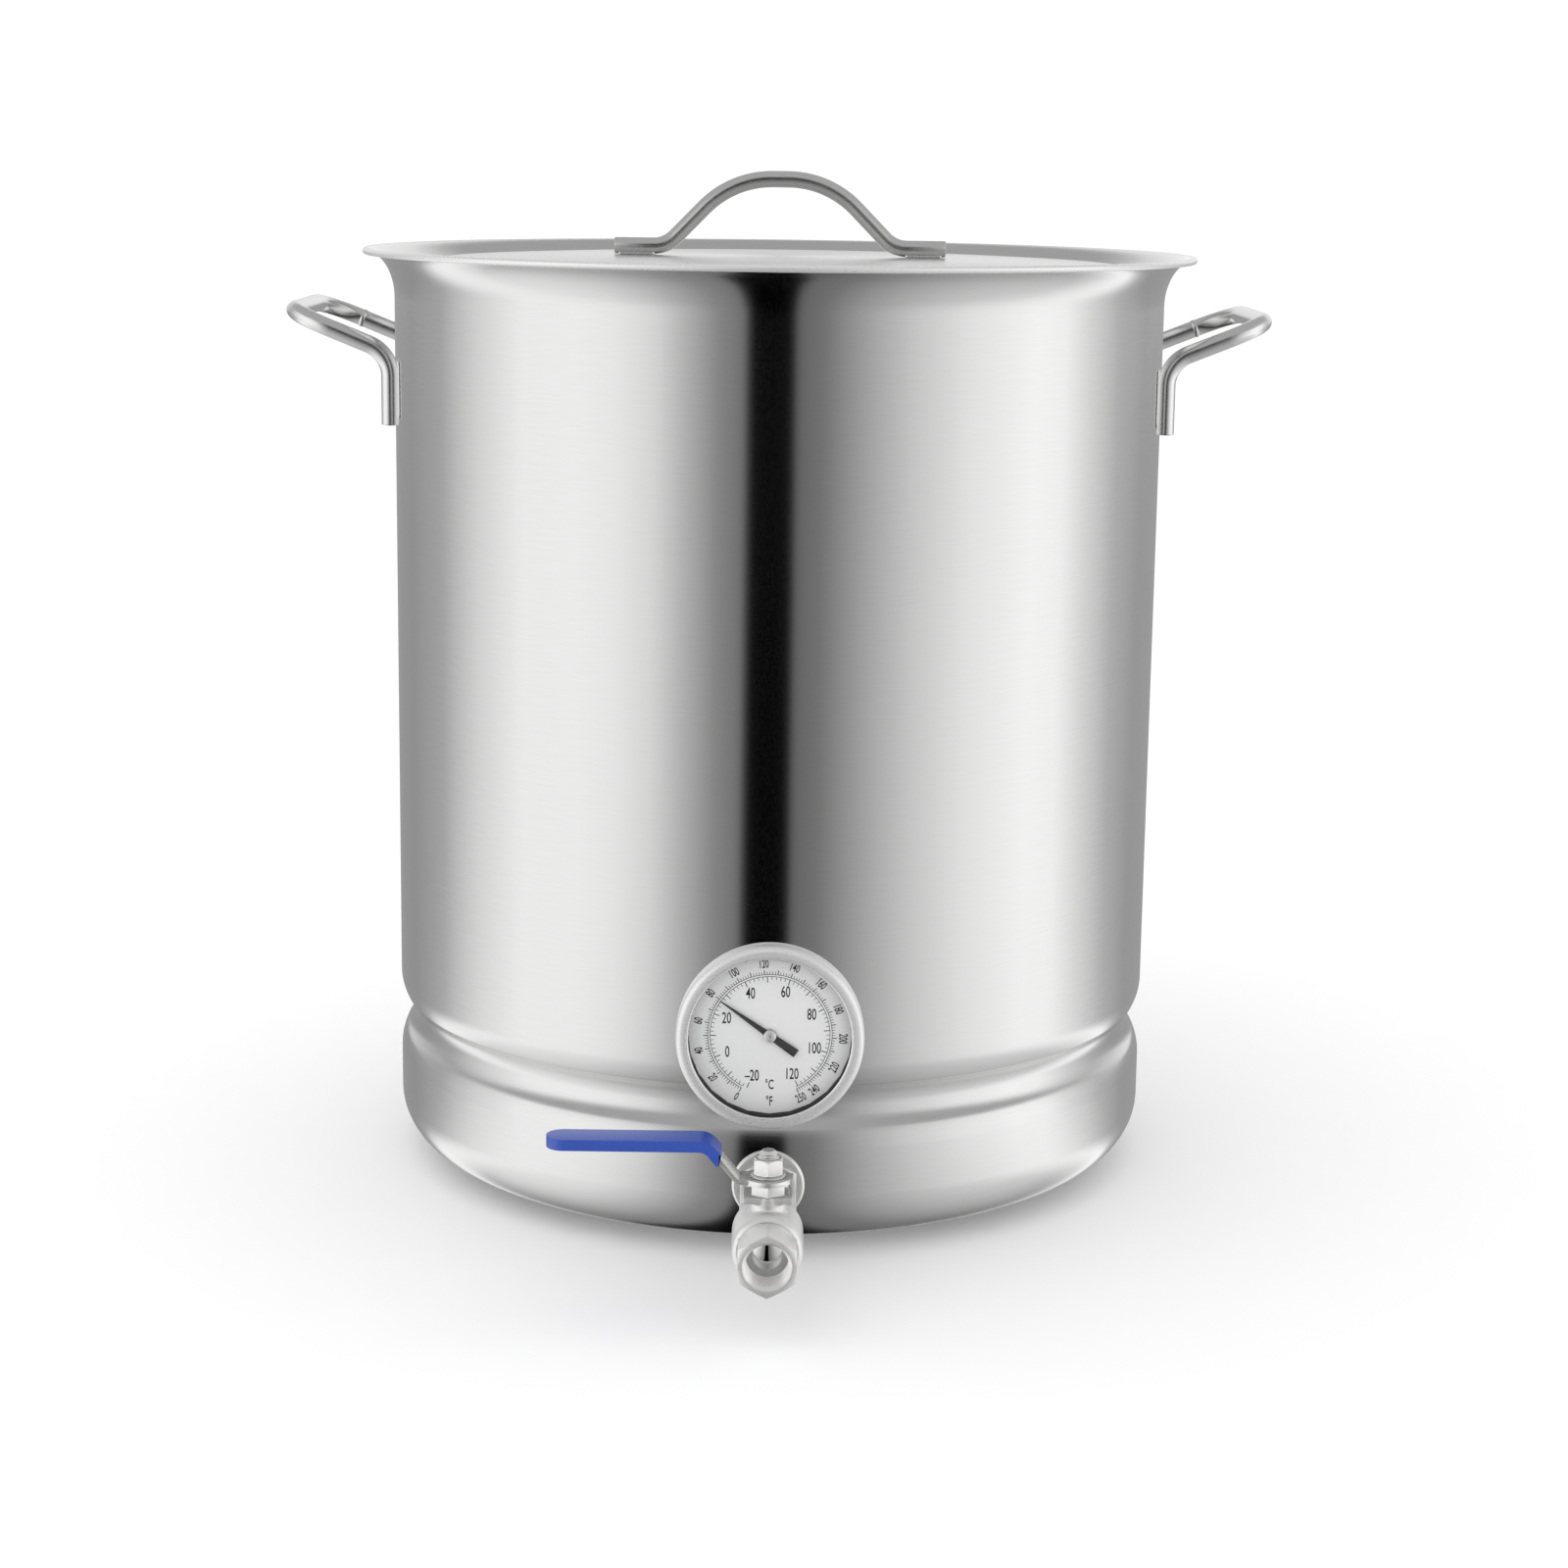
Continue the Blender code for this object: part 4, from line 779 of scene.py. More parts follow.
@dataclass
class SideHandle:
    """Bent rod handle, welded to the pot along both legs."""

    side: int
    rod_radius: float = 0.0046
    leg_spacing: float = 0.112
    leg_bottom: float = 0.3915
    bend_z: float = 0.428
    reach: float = 0.2478
    arm_angle: float = math.radians(21.8)
    leg_bend: float = 0.017
    grip_bend: float = 0.022
    pot_radius: float = 0.200
    weld_radius: float = 0.0013
    weld_length: float = 0.030
    weld_start: float = 0.0030      # above the leg's lower end
    weld_out: float = 0.0007        # from the wall to the weld's middle
    weld_side: float = 0.0023       # from the leg's middle to the weld's
    seam_width: float = 0.0012      # half the width of the butt weld in the far arm
    seam_height: float = 0.0003

    def build(self, palette: Palette) -> None:
        """Model and dress the rod with its welds."""
        name = "left" if self.side < 0 else "right"
        half = self.leg_spacing / 2
        leg_x = math.sqrt((self.pot_radius + self.rod_radius + GAP)**2 - half**2)
        bar_z = self.bend_z + (self.reach - leg_x) * math.tan(self.arm_angle)
        corners = [(leg_x, -half, self.leg_bottom), (leg_x, -half, self.bend_z),
                   (self.reach, -half, bar_z), (self.reach, half, bar_z),
                   (leg_x, half, self.bend_z), (leg_x, half, self.leg_bottom)]
        points = [Vector((self.side * x, y, z)) for x, y, z in corners]
        bar = bent_bar(f"handle_{name}", points,
                       [self.leg_bend, self.grip_bend, self.grip_bend, self.leg_bend],
                       self.rod_radius)
        soften(bar, 0.0006, 3, 60.0)
        parts = [bar, self.seam(points[4], points[3])]
        for way in (-1, 1):
            axis = Vector((self.side * leg_x, way * half, 0.0))
            outwards = axis.normalized()
            sideways = Vector((-outwards.y, outwards.x, 0.0))
            for flank in (-1, 1):
                foot = (outwards * (self.pot_radius + self.weld_out)
                        + sideways * (flank * self.weld_side))
                foot.z = self.leg_bottom + self.weld_start
                parts.append(weld_bead(foot, Vector((0, 0, 1)), self.weld_length,
                                       self.weld_radius))
        handle = join_pieces(f"handle_{name}", parts)
        hand_over(handle, palette.rod, "kettle", (f"side_handle_{name}",))

    def seam(self, bend: Vector, corner: Vector) -> Piece:
        """Model the ground butt weld round the far arm, just before its grip corner.

        Args:
            bend: Where the arm's centre line leaves its leg.
            corner: Where the arm's centre line meets the grip's.

        Returns:
            A raised ring round the arm.
        """
        deep = self.rod_radius - 0.0006
        wide, proud = self.seam_width, self.rod_radius + self.seam_height
        ring = revolve("seam", [(deep, -wide), (self.rod_radius, -wide),
                                (proud, -wide * 0.4), (proud, wide * 0.4),
                                (self.rod_radius, wide), (deep, wide)], 32)
        heading = (corner - bend).normalized()
        ring.rotation_euler = Vector((0, 0, 1)).rotation_difference(heading).to_euler()
        ring.location = corner - heading * (self.grip_bend + 0.002)
        apply_place(ring)
        return ring


def weld_bead(start: Vector, heading: Vector, length: float, radius: float) -> Piece:
    """Lay a rippled weld bead.

    Args:
        start: Where the bead starts.
        heading: Unit direction of the bead.
        length: Its length.
        radius: Its thickest radius.

    Returns:
        A closed bead with drawn-in ends.
    """
    ripples, crest, dip, end = 10, 1.0, 0.84, 0.4
    bead = start_from_disc("weld_bead", start, heading, radius * end, 10)
    size = end
    for ripple in range(ripples):
        for target in (crest, dip if ripple < ripples - 1 else end):
            extrude_by(heading * (length * 0.5 / ripples))
            bpy.ops.transform.resize(value=(target / size,) * 3)
            size = target
    bpy.ops.object.mode_set(mode="OBJECT")
    tidy_mesh(bead)
    return bead


# Lid and strainer

@dataclass
class Lid:
    """Stepped sheet lid with an arched rod handle."""

    thickness: float = 0.0010
    edge_z: float = 0.4722
    crown_z: float = 0.4772
    flat_radius: float = 0.095
    step_radius: float = 0.176
    step_height: float = 0.0025
    step_width: float = 0.006
    rod_radius: float = 0.0043
    handle_length: float = 0.1726
    handle_rise: float = 0.0349
    foot_turn: float = 0.0594
    slope: float = math.radians(45.5)
    crown_bend: float = 0.050
    foot_bend: float = 0.016
    weld_radius: float = 0.0010
    weld_length: float = 0.019
    weld_start: float = 0.0020      # from the rod's end
    weld_out: float = 0.0007        # from the sheet to the weld's middle
    weld_side: float = 0.0021       # from the rod's middle to the weld's
    steps: int = 192

    def top_path(self, edge_radius: float) -> Profile:
        """Draw the upper side from the edge to the middle."""
        ease_steps, crown_steps = 10, 10
        path: Profile = [(edge_radius, self.edge_z)]
        for step in range(ease_steps + 1):
            share = step / ease_steps
            lift = (1 - math.cos(math.pi * share)) / 2
            path.append((self.step_radius + self.step_width * (1 - share),
                         self.edge_z + self.step_height * lift))
        step_top = self.edge_z + self.step_height
        for step in range(1, crown_steps + 1):
            share = step / crown_steps
            path.append((self.step_radius + (self.flat_radius - self.step_radius) * share,
                         step_top + (self.crown_z - step_top) * math.sin(math.pi / 2 * share)))
        path += [(0.045, self.crown_z), (0.0, self.crown_z)]
        return path

    def build(self, palette: Palette) -> None:
        """Model and dress the sheet and the handle."""
        edge_radius = Vector(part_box("lid_panel")[1]).x
        top = self.top_path(edge_radius)
        under = [(radius, height - self.thickness) for radius, height in reversed(top)]
        panel = revolve("lid_sheet", top + under, self.steps)
        soften(panel, 0.0003, 2, 60.0)
        hand_over(panel, palette.sheet, "lid", ("lid_panel",), mirrored=True)
        foot_z = self.crown_z + GAP + self.rod_radius
        top_z = foot_z + self.handle_rise
        end_x = self.handle_length / 2
        crown_x = self.foot_turn - self.handle_rise / math.tan(self.slope)
        points = [Vector((x, 0.0, z)) for x, z in
                  ((-end_x, foot_z), (-self.foot_turn, foot_z), (-crown_x, top_z),
                   (crown_x, top_z), (self.foot_turn, foot_z), (end_x, foot_z))]
        bar = bent_bar("lid_bow", points,
                       [self.foot_bend, self.crown_bend, self.crown_bend, self.foot_bend],
                       self.rod_radius, bend_steps=20)
        soften(bar, 0.0004, 2, 60.0)
        parts = [bar]
        for side in (-1, 1):
            for flank in (-1, 1):
                start = Vector((side * (end_x - self.weld_start), flank * self.weld_side,
                                self.crown_z + self.weld_out))
                parts.append(weld_bead(start, Vector((-side, 0.0, 0.0)), self.weld_length,
                                       self.weld_radius))
        hand_over(join_pieces("lid_bow", parts), palette.rod, "lid", ("lid_handle",),
                  mirrored=True)


@dataclass
class Strainer:
    """Perforated false bottom with softened edges."""

    thickness: float = 0.0015
    hole_radius: float = 0.0016
    pitch: float = 0.0095
    rings: int = 18
    steps: int = 144

    def build(self, palette: Palette) -> None:
        """Model and dress the plate."""
        low, high = (Vector(corner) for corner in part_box("false_bottom"))
        radius, under, top = high.x, low.z, high.z
        rows = [(ring + 0.5) * self.pitch for ring in range(self.rings + 1)]
        edge = 0.0004
        plate = revolve("strainer_plate", [(0.0, under)] + [(row, under) for row in rows] + [
            (radius - edge, under), (radius, under + edge), (radius, top - edge),
            (radius - edge, top)] + [(row, top) for row in reversed(rows)] + [(0.0, top)],
            self.steps)
        clear_selection()
        bpy.ops.mesh.primitive_cylinder_add(vertices=8, radius=self.hole_radius,
                                            depth=3 * self.thickness,
                                            location=(0, 0, (under + top) / 2))
        punch = name_piece("punch")
        apply_place(punch)
        punches = []
        for ring in range(1, self.rings + 1):
            count = 6 * ring
            for index in range(count):
                angle = math.tau * (index + 0.5 * (ring % 2)) / count
                copy = punch.copy()
                copy.data = punch.data.copy()
                bpy.context.collection.objects.link(copy)
                copy.location = (ring * self.pitch * math.cos(angle),
                                 ring * self.pitch * math.sin(angle), 0.0)
                punches.append(copy)
        tool = join_pieces("punches", [punch] + punches)
        boolean(plate, tool, "DIFFERENCE")
        hand_over(plate, palette.sheet, "strainer", ("false_bottom",), mirrored=True)


# Fittings through the wall

@dataclass
class WallFittings:
    """Nipple, flanged nut, seals and locknuts of the two wall fittings."""

    thread_radius: float = 0.0102
    thread_depth: float = 0.0006
    pitch: float = 0.0018
    bore: float = 0.0070
    flange_radius: float = 0.0176
    flange_thickness: float = 0.0030
    nut_flats: float = 0.0270
    nut_chamfer: float = 0.0136

    def build(self, palette: Palette) -> None:
        """Model and dress the pieces."""
        height = middle("bulkhead_nipple").z
        inner, outer = span("bulkhead_nipple")
        nipple = revolve("outlet_nipple", thread(
            self.thread_radius, self.thread_depth, inner + 0.0005, outer - 0.0005, self.pitch)
            + [(self.bore + 0.0006, outer), (self.bore, outer - 0.0006),
               (self.bore, inner + 0.0006), (self.bore + 0.0006, inner)])
        hand_over(face_front(nipple, height), palette.machined, "kettle", ("bulkhead_nipple",))
        back, front = span("flange_nut")
        nut = hexagon("flanged_nut", self.nut_flats, back + 0.0006, front)
        trim_corners(nut, self.nut_chamfer - 0.0003, front, STEEP_TRIM)
        flange = revolve("flange", [
            (0.0, back), (self.flange_radius - 0.0006, back),
            (self.flange_radius, back + 0.0006),
            (self.flange_radius, back + self.flange_thickness - 0.0012),
            (self.flange_radius - 0.0010, back + self.flange_thickness - 0.0002),
            (self.flange_radius - 0.0026, back + self.flange_thickness),
            (0.0, back + self.flange_thickness)])
        boolean(nut, flange, "UNION")
        boolean(nut, pin("tap", self.thread_radius + GAP, back - PAST, front + PAST),
                "DIFFERENCE")
        soften(nut, 0.0004, 2, 40.0)
        hand_over(face_front(nut, height), palette.casting, "kettle", ("flange_nut",))
        for node in ("valve_locknut", "thermo_locknut"):
            self.locknut(node, palette)
        for node in ("valve_outer_seal", "valve_inner_seal", "thermo_outer_seal",
                     "thermo_inner_seal"):
            dress_node(node, palette.silicone)

    def locknut(self, node: str, palette: Palette) -> None:
        """Model one locknut, chamfered on both faces and tapped."""
        back, front = span(node)
        nut = hexagon(f"{node}_hex", self.nut_flats, back, front)
        trim_corners(nut, self.nut_chamfer, front, STEEP_TRIM)
        trim_corners(nut, self.nut_chamfer, back, STEEP_TRIM, -1)
        crest = self.thread_radius + GAP
        tap = [(0.0, back - 0.001), (crest + 0.0010, back - 0.001)]
        tap += thread(crest, -self.thread_depth, back + 0.0006, front - 0.0006, self.pitch)
        tap += [(crest + 0.0010, front + 0.001), (0.0, front + 0.001)]
        boolean(nut, revolve("tap", tap), "DIFFERENCE")
        hand_over(face_front(nut, middle(node).z), palette.machined, "kettle", (node,))


# Ball valve

@dataclass
class ValveHousing:
    """Cast body, hexagonal outlet, seats, packing and gland nut."""

    body_radius: float = 0.0165
    hex_flats: float = 0.0266
    hex_length: float = 0.0160
    neck_radius: float = 0.0088
    neck_root: float = 0.0080
    neck_top: float = 0.0225
    pad_width: float = 0.0230
    pad_depth: float = 0.0166
    pad_thickness: float = 0.0030
    thread_radius: float = 0.0105
    thread_depth: float = 0.0007
    thread_pitch: float = 0.0018
    tap_depth: float = 0.0155
    port_radius: float = 0.0068
    ball_radius: float = 0.0120
    seat_back: float = 0.0125
    ledge: float = 0.0022
    spigot_radius: float = 0.0138
    spigot_length: float = 0.0040
    recess_radius: float = 0.0055
    recess_root: float = 0.0060
    recess_height: float = 0.0032
    stem_bore: float = 0.0043
    packing_radius: float = 0.0066
    packing_height: float = 0.0042
    gland_flats: float = 0.0150

    def build(self, palette: Palette) -> None:
        """Model and dress the pieces that stay on the kettle."""
        axis = middle("ball")
        self.stem_y, self.height = -axis.y, axis.z
        self.body(palette)
        self.end_cap(palette)
        self.gland(palette)
        for node in ("seat_front", "seat_rear", "thrust_washer", "stem_packing"):
            dress_node(node, palette.soft_white)

    def body(self, palette: Palette) -> None:
        """Model the cast body round its chamber and stem bore."""
        inlet, front = span("valve_body")
        casting = revolve("valve_casting", [
            (0.0, inlet + 0.008), (0.0115, inlet + 0.009),
            (self.body_radius - 0.0016, inlet + 0.0125),
            (self.body_radius, inlet + 0.0155), (self.body_radius, front - 0.0032),
            (self.body_radius - 0.0008, front - 0.0012), (self.body_radius - 0.0024, front),
            (0.0, front)])
        inlet_hex = hexagon("inlet_hex", self.hex_flats, inlet, inlet + 0.0125)
        trim_corners(inlet_hex, self.hex_flats / 2 + 0.0004, inlet, STEEP_TRIM, -1)
        boolean(casting, inlet_hex, "UNION")
        for tool in (pin("neck", self.neck_radius, self.neck_root, self.neck_top),
                     slab("pad", (-self.pad_width / 2, -self.pad_depth / 2,
                                  self.neck_top - self.pad_thickness),
                          (self.pad_width / 2, self.pad_depth / 2, self.neck_top))):
            boolean(casting, self.on_stem(tool), "UNION")
        cast_smooth(casting, 0.00045, 5)
        back = self.stem_y - self.seat_back - GAP
        step = front - self.spigot_length - GAP
        bore = self.spigot_radius + GAP
        cavity = self.ball_radius + 0.0006
        boolean(casting, revolve("chamber", [
            (0.0, inlet - PAST), (self.thread_radius, inlet - PAST),
            (self.thread_radius, back - self.ledge), (self.port_radius, back - self.ledge),
            (self.port_radius, back), (cavity, back), (cavity, step), (bore, step),
            (bore, front + PAST), (0.0, front + PAST)]), "DIFFERENCE")
        packing_low = self.neck_top - self.packing_height
        recess_top = self.ball_radius + self.recess_height
        stem_way = revolve("stem_way", [
            (0.0, self.recess_root), (self.recess_radius, self.recess_root),
            (self.recess_radius, recess_top), (self.stem_bore, recess_top),
            (self.stem_bore, packing_low), (self.packing_radius, packing_low),
            (self.packing_radius, self.neck_top + PAST), (0.0, self.neck_top + PAST)])
        boolean(casting, self.on_stem(stem_way), "DIFFERENCE")
        hand_over(face_front(casting, self.height), palette.casting, "kettle",
                  ("valve_body",))

    def on_stem(self, tool: Piece) -> Piece:
        """Stand a tool drawn along the stem on the lying valve's stem."""
        tool.rotation_euler = (-math.pi / 2, 0.0, 0.0)
        return move_piece(tool, Vector((0.0, 0.0, self.stem_y)))

    def end_cap(self, palette: Palette) -> None:
        """Model the hexagonal outlet with its tapped mouth."""
        back, outlet = span("valve_end_cap")
        shoulder = back + self.spigot_length + GAP
        cap = hexagon("valve_outlet", self.hex_flats, outlet - self.hex_length, outlet)
        trim_corners(cap, self.hex_flats / 2 + 0.0001, outlet, 1.5)
        soften(cap, 0.0011, 3, 40.0)
        boolean(cap, revolve("spigot", [
            (0.0, back), (self.spigot_radius, back), (self.spigot_radius, shoulder),
            (self.body_radius - 0.0026, shoulder),
            (self.body_radius - 0.0032, shoulder + 0.0035), (0.0, shoulder + 0.0035)]),
            "UNION")
        mouth = self.thread_radius + 0.0008
        deep = outlet - self.tap_depth
        tap: Profile = [(0.0, back - PAST), (self.port_radius, back - PAST),
                        (self.port_radius, deep), (self.thread_radius, deep)]
        tap += thread(self.thread_radius - self.thread_depth, -self.thread_depth,
                      deep + 0.0005, outlet - 0.0012, self.thread_pitch)
        tap += [(mouth, outlet), (mouth, outlet + PAST), (0.0, outlet + PAST)]
        boolean(cap, revolve("tap", tap, 96), "DIFFERENCE")
        hand_over(face_front(cap, self.height), palette.casting, "kettle",
                  ("valve_end_cap",))

    def gland(self, palette: Palette) -> None:
        """Model the nut that presses on the packing."""
        low, high = (Vector(corner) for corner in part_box("gland_nut"))
        skirt, top = low.z - self.height, high.z - self.height
        nut = hexagon("gland_hex", self.gland_flats, self.neck_top + GAP, top)
        trim_corners(nut, self.gland_flats / 2, top, STEEP_TRIM)
        soften(nut, 0.0003, 2, 40.0)
        boolean(nut, pin("skirt", self.packing_radius - GAP, skirt, self.neck_top + 0.001),
                "UNION")
        boolean(nut, pin("bore", self.stem_bore, skirt - PAST, top + PAST), "DIFFERENCE")
        move_piece(nut, Vector((0.0, -self.stem_y, self.height)))
        hand_over(nut, palette.machined, "kettle", ("gland_nut",))


@dataclass
class ValveSpindle:
    """Ball, stem, lever, grip and fixings, which turn together."""

    ball_radius: float = 0.0120
    port_radius: float = 0.0068
    stem_radius: float = 0.0040
    shoulder_radius: float = 0.0052
    shoulder_height: float = 0.0016
    tang_depth: float = 0.0036
    tang_length: float = 0.0076
    tang_width: float = 0.0026
    lever_z: float = 0.0295
    lever_thickness: float = 0.0022
    lever_width: float = 0.0220
    strip_width: float = 0.0130
    lever_length: float = 0.0985
    lever_rise: float = 0.0170
    bend_x: float = 0.0140
    slope: float = math.radians(51.0)
    tab_x: float = 0.0115
    tab_drop: float = 0.0050
    grip_width: float = 0.0160
    grip_thickness: float = 0.0052
    grip_start: float = 0.0225
    grip_wall: float = 0.0030
    washer_radius: float = 0.0080
    nut_flats: float = 0.0130
    thread_pitch: float = 0.00125
    thread_depth: float = 0.0005
    hub_start: float = 0.0070       # where the strip starts, inside the hub
    tongue_width: float = 0.0090
    tool_reach: float = 0.020       # how far a cutter reaches from the ball's middle

    def build(self, palette: Palette) -> None:
        """Model and dress every turning piece."""
        self.axis = middle("ball")
        self.ball(palette)
        self.stem(palette)
        self.lever(palette)
        self.grip(palette)
        self.fixings(palette)

    def place(self, piece: Piece) -> Piece:
        """Put a piece drawn round the stem on the stem's axis."""
        return move_piece(piece, self.axis)

    def ball(self, palette: Palette) -> None:
        """Model the bored and slotted ball."""
        clear_selection()
        bpy.ops.mesh.primitive_uv_sphere_add(segments=64, ring_count=40,
                                             radius=self.ball_radius)
        ball = name_piece("valve_ball")
        port = pin("port", self.port_radius, -self.tool_reach, self.tool_reach)
        port.rotation_euler = (0.0, math.pi / 2, 0.0)
        apply_place(port)
        boolean(ball, port, "DIFFERENCE")
        slot_low = self.ball_radius + 0.0004 - self.tang_depth - GAP
        boolean(ball, slab("slot", (-self.tang_length / 2 - GAP, -self.tang_width / 2 - GAP,
                                    slot_low),
                           (self.tang_length / 2 + GAP, self.tang_width / 2 + GAP,
                            self.tool_reach)),
                "DIFFERENCE")
        hand_over(self.place(ball), palette.mirror, "valve_spindle", ("ball",))

    def stem(self, palette: Palette) -> None:
        """Model the stem with its tang, shoulder and threaded end."""
        top = Vector(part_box("valve_stem")[1]).z - self.axis.z
        low = self.ball_radius + 0.0004
        high = low + self.shoulder_height
        outline: Profile = [(0.0, low), (self.shoulder_radius, low),
                            (self.shoulder_radius, high), (self.stem_radius, high),
                            (self.stem_radius, self.lever_z - 0.002)]
        outline += thread(self.stem_radius, self.thread_depth, self.lever_z, top - 0.0008,
                          self.thread_pitch)
        outline += [(self.stem_radius - 0.0010, top), (0.0, top)]
        stem = revolve("spindle_stem", outline, 48)
        tang = slab("tang", (-self.tang_length / 2, -self.tang_width / 2,
                             low - self.tang_depth),
                    (self.tang_length / 2, self.tang_width / 2, low + 0.0005))
        boolean(stem, tang, "UNION")
        hand_over(self.place(stem), palette.machined, "valve_spindle", ("valve_stem",))

    def route(self, start_x: float, end_x: float) -> Profile:
        """Draw the lever's centre line between two distances from the stem."""
        rise_end = self.bend_x + self.lever_rise / math.tan(self.slope)
        corners = [Vector((-start_x, 0.0, self.lever_z)),
                   Vector((-self.bend_x, 0.0, self.lever_z)),
                   Vector((-rise_end, 0.0, self.lever_z + self.lever_rise)),
                   Vector((-end_x, 0.0, self.lever_z + self.lever_rise))]
        path = [corners[0]]
        steps = 8
        for before, corner, after, bend in zip(corners, corners[1:], corners[2:],
                                               (0.004, 0.008)):
            start, centre, axis, turning = fillet(before, corner, after, bend)
            for step in range(steps + 1):
                turn = Quaternion(axis, turning * step / steps)
                path.append(centre + turn @ (start - centre))
        return [(point.x, point.z) for point in path]

    def strip(self, name: str, path: Profile, width: float, end_x: float,
              thickness: float) -> Piece:
        """Draw out a flat strip that ends in a half circle.

        Args:
            name: Name of the new piece.
            path: Centre line up to the start of the rounded end.
            width: Full width.
            end_x: Distance of the tip from the stem.
            thickness: Full thickness.

        Returns:
            A closed strip with square edges.
        """
        half = width / 2
        tip_height = self.lever_z + self.lever_rise
        tip_steps = 14
        route = list(path)
        widths = [half] * len(route)
        for step in range(tip_steps + 1):
            turn = math.pi / 2 * step / tip_steps
            route.append((-end_x + half * (1 - math.sin(turn)), tip_height))
            widths.append(max(half * math.cos(turn), half * 0.04))
        clear_selection()
        bpy.ops.mesh.primitive_plane_add(size=1.0, location=(route[0][0], 0.0, route[0][1]))
        piece = name_piece(name)
        piece.scale = (0.0001, width, 1.0)
        apply_place(piece)
        bpy.ops.object.mode_set(mode="EDIT")
        bpy.ops.mesh.select_mode(type="EDGE")
        bpy.ops.mesh.select_all(action="DESELECT")
        bpy.ops.object.mode_set(mode="OBJECT")
        lowest = min(vertex.co.x for vertex in piece.data.vertices)
        for edge in piece.data.edges:
            ends = [piece.data.vertices[index].co.x for index in edge.vertices]
            edge.select = max(ends) < lowest + 1e-6
        bpy.ops.object.mode_set(mode="EDIT")
        current = half
        for (x, z), (next_x, next_z), wide in zip(route, route[1:], widths[1:]):
            extrude_by(Vector((next_x - x, 0.0, next_z - z)))
            if abs(wide - current) > 1e-9:
                bpy.ops.transform.resize(value=(1.0, wide / current, 1.0))
                current = wide
        bpy.ops.object.mode_set(mode="OBJECT")
        tidy_mesh(piece)
        apply_modifier(piece, "SOLIDIFY", thickness=thickness, offset=0.0,
                       use_even_offset=True)
        tidy_mesh(piece)
        return piece

    def lever(self, palette: Palette) -> None:
        """Model the lever: hub, stop tab and bent strip."""
        half = self.strip_width / 2
        path = self.route(self.hub_start, self.lever_length - half)
        plate = self.strip("valve_lever", path, self.strip_width, self.lever_length,
                           self.lever_thickness)
        low = self.lever_z - self.lever_thickness / 2
        high = self.lever_z + self.lever_thickness / 2
        edge = self.tongue_width / 2
        for tool in (pin("hub", self.lever_width / 2, low, high),
                     slab("tongue", (0.0, -edge, low), (self.tab_x, edge, high)),
                     slab("tab", (self.tab_x - self.lever_thickness, -edge,
                                  low - self.tab_drop), (self.tab_x, edge, high))):
            boolean(plate, tool, "UNION")
        boolean(plate, pin("hole", self.stem_radius + GAP, low - PAST, high + PAST),
                "DIFFERENCE")
        soften(plate, 0.0004, 2, 40.0)
        hand_over(self.place(plate), palette.machined, "valve_spindle", ("lever",))

    def grip(self, palette: Palette) -> None:
        """Model the dipped sleeve on the lever's far end."""
        end_x = self.lever_length + self.grip_wall
        half = self.grip_width / 2
        path = [point for point in self.route(self.hub_start, end_x - half)
                if -point[0] >= self.grip_start]
        lead = -path[0][0] - self.grip_start
        if lead > 0.0003:
            path.insert(0, (-self.grip_start, path[0][1] - lead * math.tan(self.slope)))
        grip = self.strip("lever_sleeve", path, self.grip_width, end_x, self.grip_thickness)
        soften(grip, 0.0018, 5, 40.0)
        slot_half = self.strip_width / 2 + GAP
        slot_end = self.lever_length + GAP
        slot = self.strip("slot", self.route(self.hub_start, slot_end - slot_half),
                          2 * slot_half, slot_end, self.lever_thickness + 2 * GAP)
        boolean(grip, slot, "DIFFERENCE")
        hand_over(self.place(grip), palette.vinyl, "valve_spindle", ("lever_grip",))

    def fixings(self, palette: Palette) -> None:
        """Model the spring washer and the chamfered nut."""
        low, high = (Vector(corner) - self.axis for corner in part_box("spring_washer"))
        bore = self.stem_radius + GAP
        washer = revolve("lock_washer", [
            (bore, low.z + 0.0001), (self.washer_radius - 0.0002, low.z),
            (self.washer_radius, low.z + 0.0002), (self.washer_radius, high.z - 0.0004),
            (self.washer_radius - 0.0003, high.z - 0.0002), (bore + 0.001, high.z),
            (bore, high.z - 0.0001)])
        hand_over(self.place(washer), palette.machined, "valve_spindle", ("spring_washer",))
        low, high = (Vector(corner) - self.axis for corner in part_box("lever_nut"))
        nut = hexagon("lever_hex", self.nut_flats, low.z, high.z)
        trim_corners(nut, self.nut_flats / 2 - 0.0002, high.z, 1.3)
        trim_corners(nut, self.nut_flats / 2 + 0.0002, low.z, STEEP_TRIM, -1)
        soften(nut, 0.0003, 2, 35.0)
        boolean(nut, revolve("tap", [
            (0.0, low.z - 0.001), (bore + 0.0010, low.z - 0.001), (bore, low.z + 0.0010),
            (bore, high.z - 0.0008), (bore + 0.0008, high.z + 0.0001),
            (bore + 0.0008, high.z + 0.001), (0.0, high.z + 0.001)]), "DIFFERENCE")
        hand_over(self.place(nut), palette.machined, "valve_spindle", ("lever_nut",))


# Dial thermometer

def fahrenheit_of(celsius: float) -> float:
    """Convert a reading to the scale that the dial is divided by."""
    return celsius * 1.8 + 32


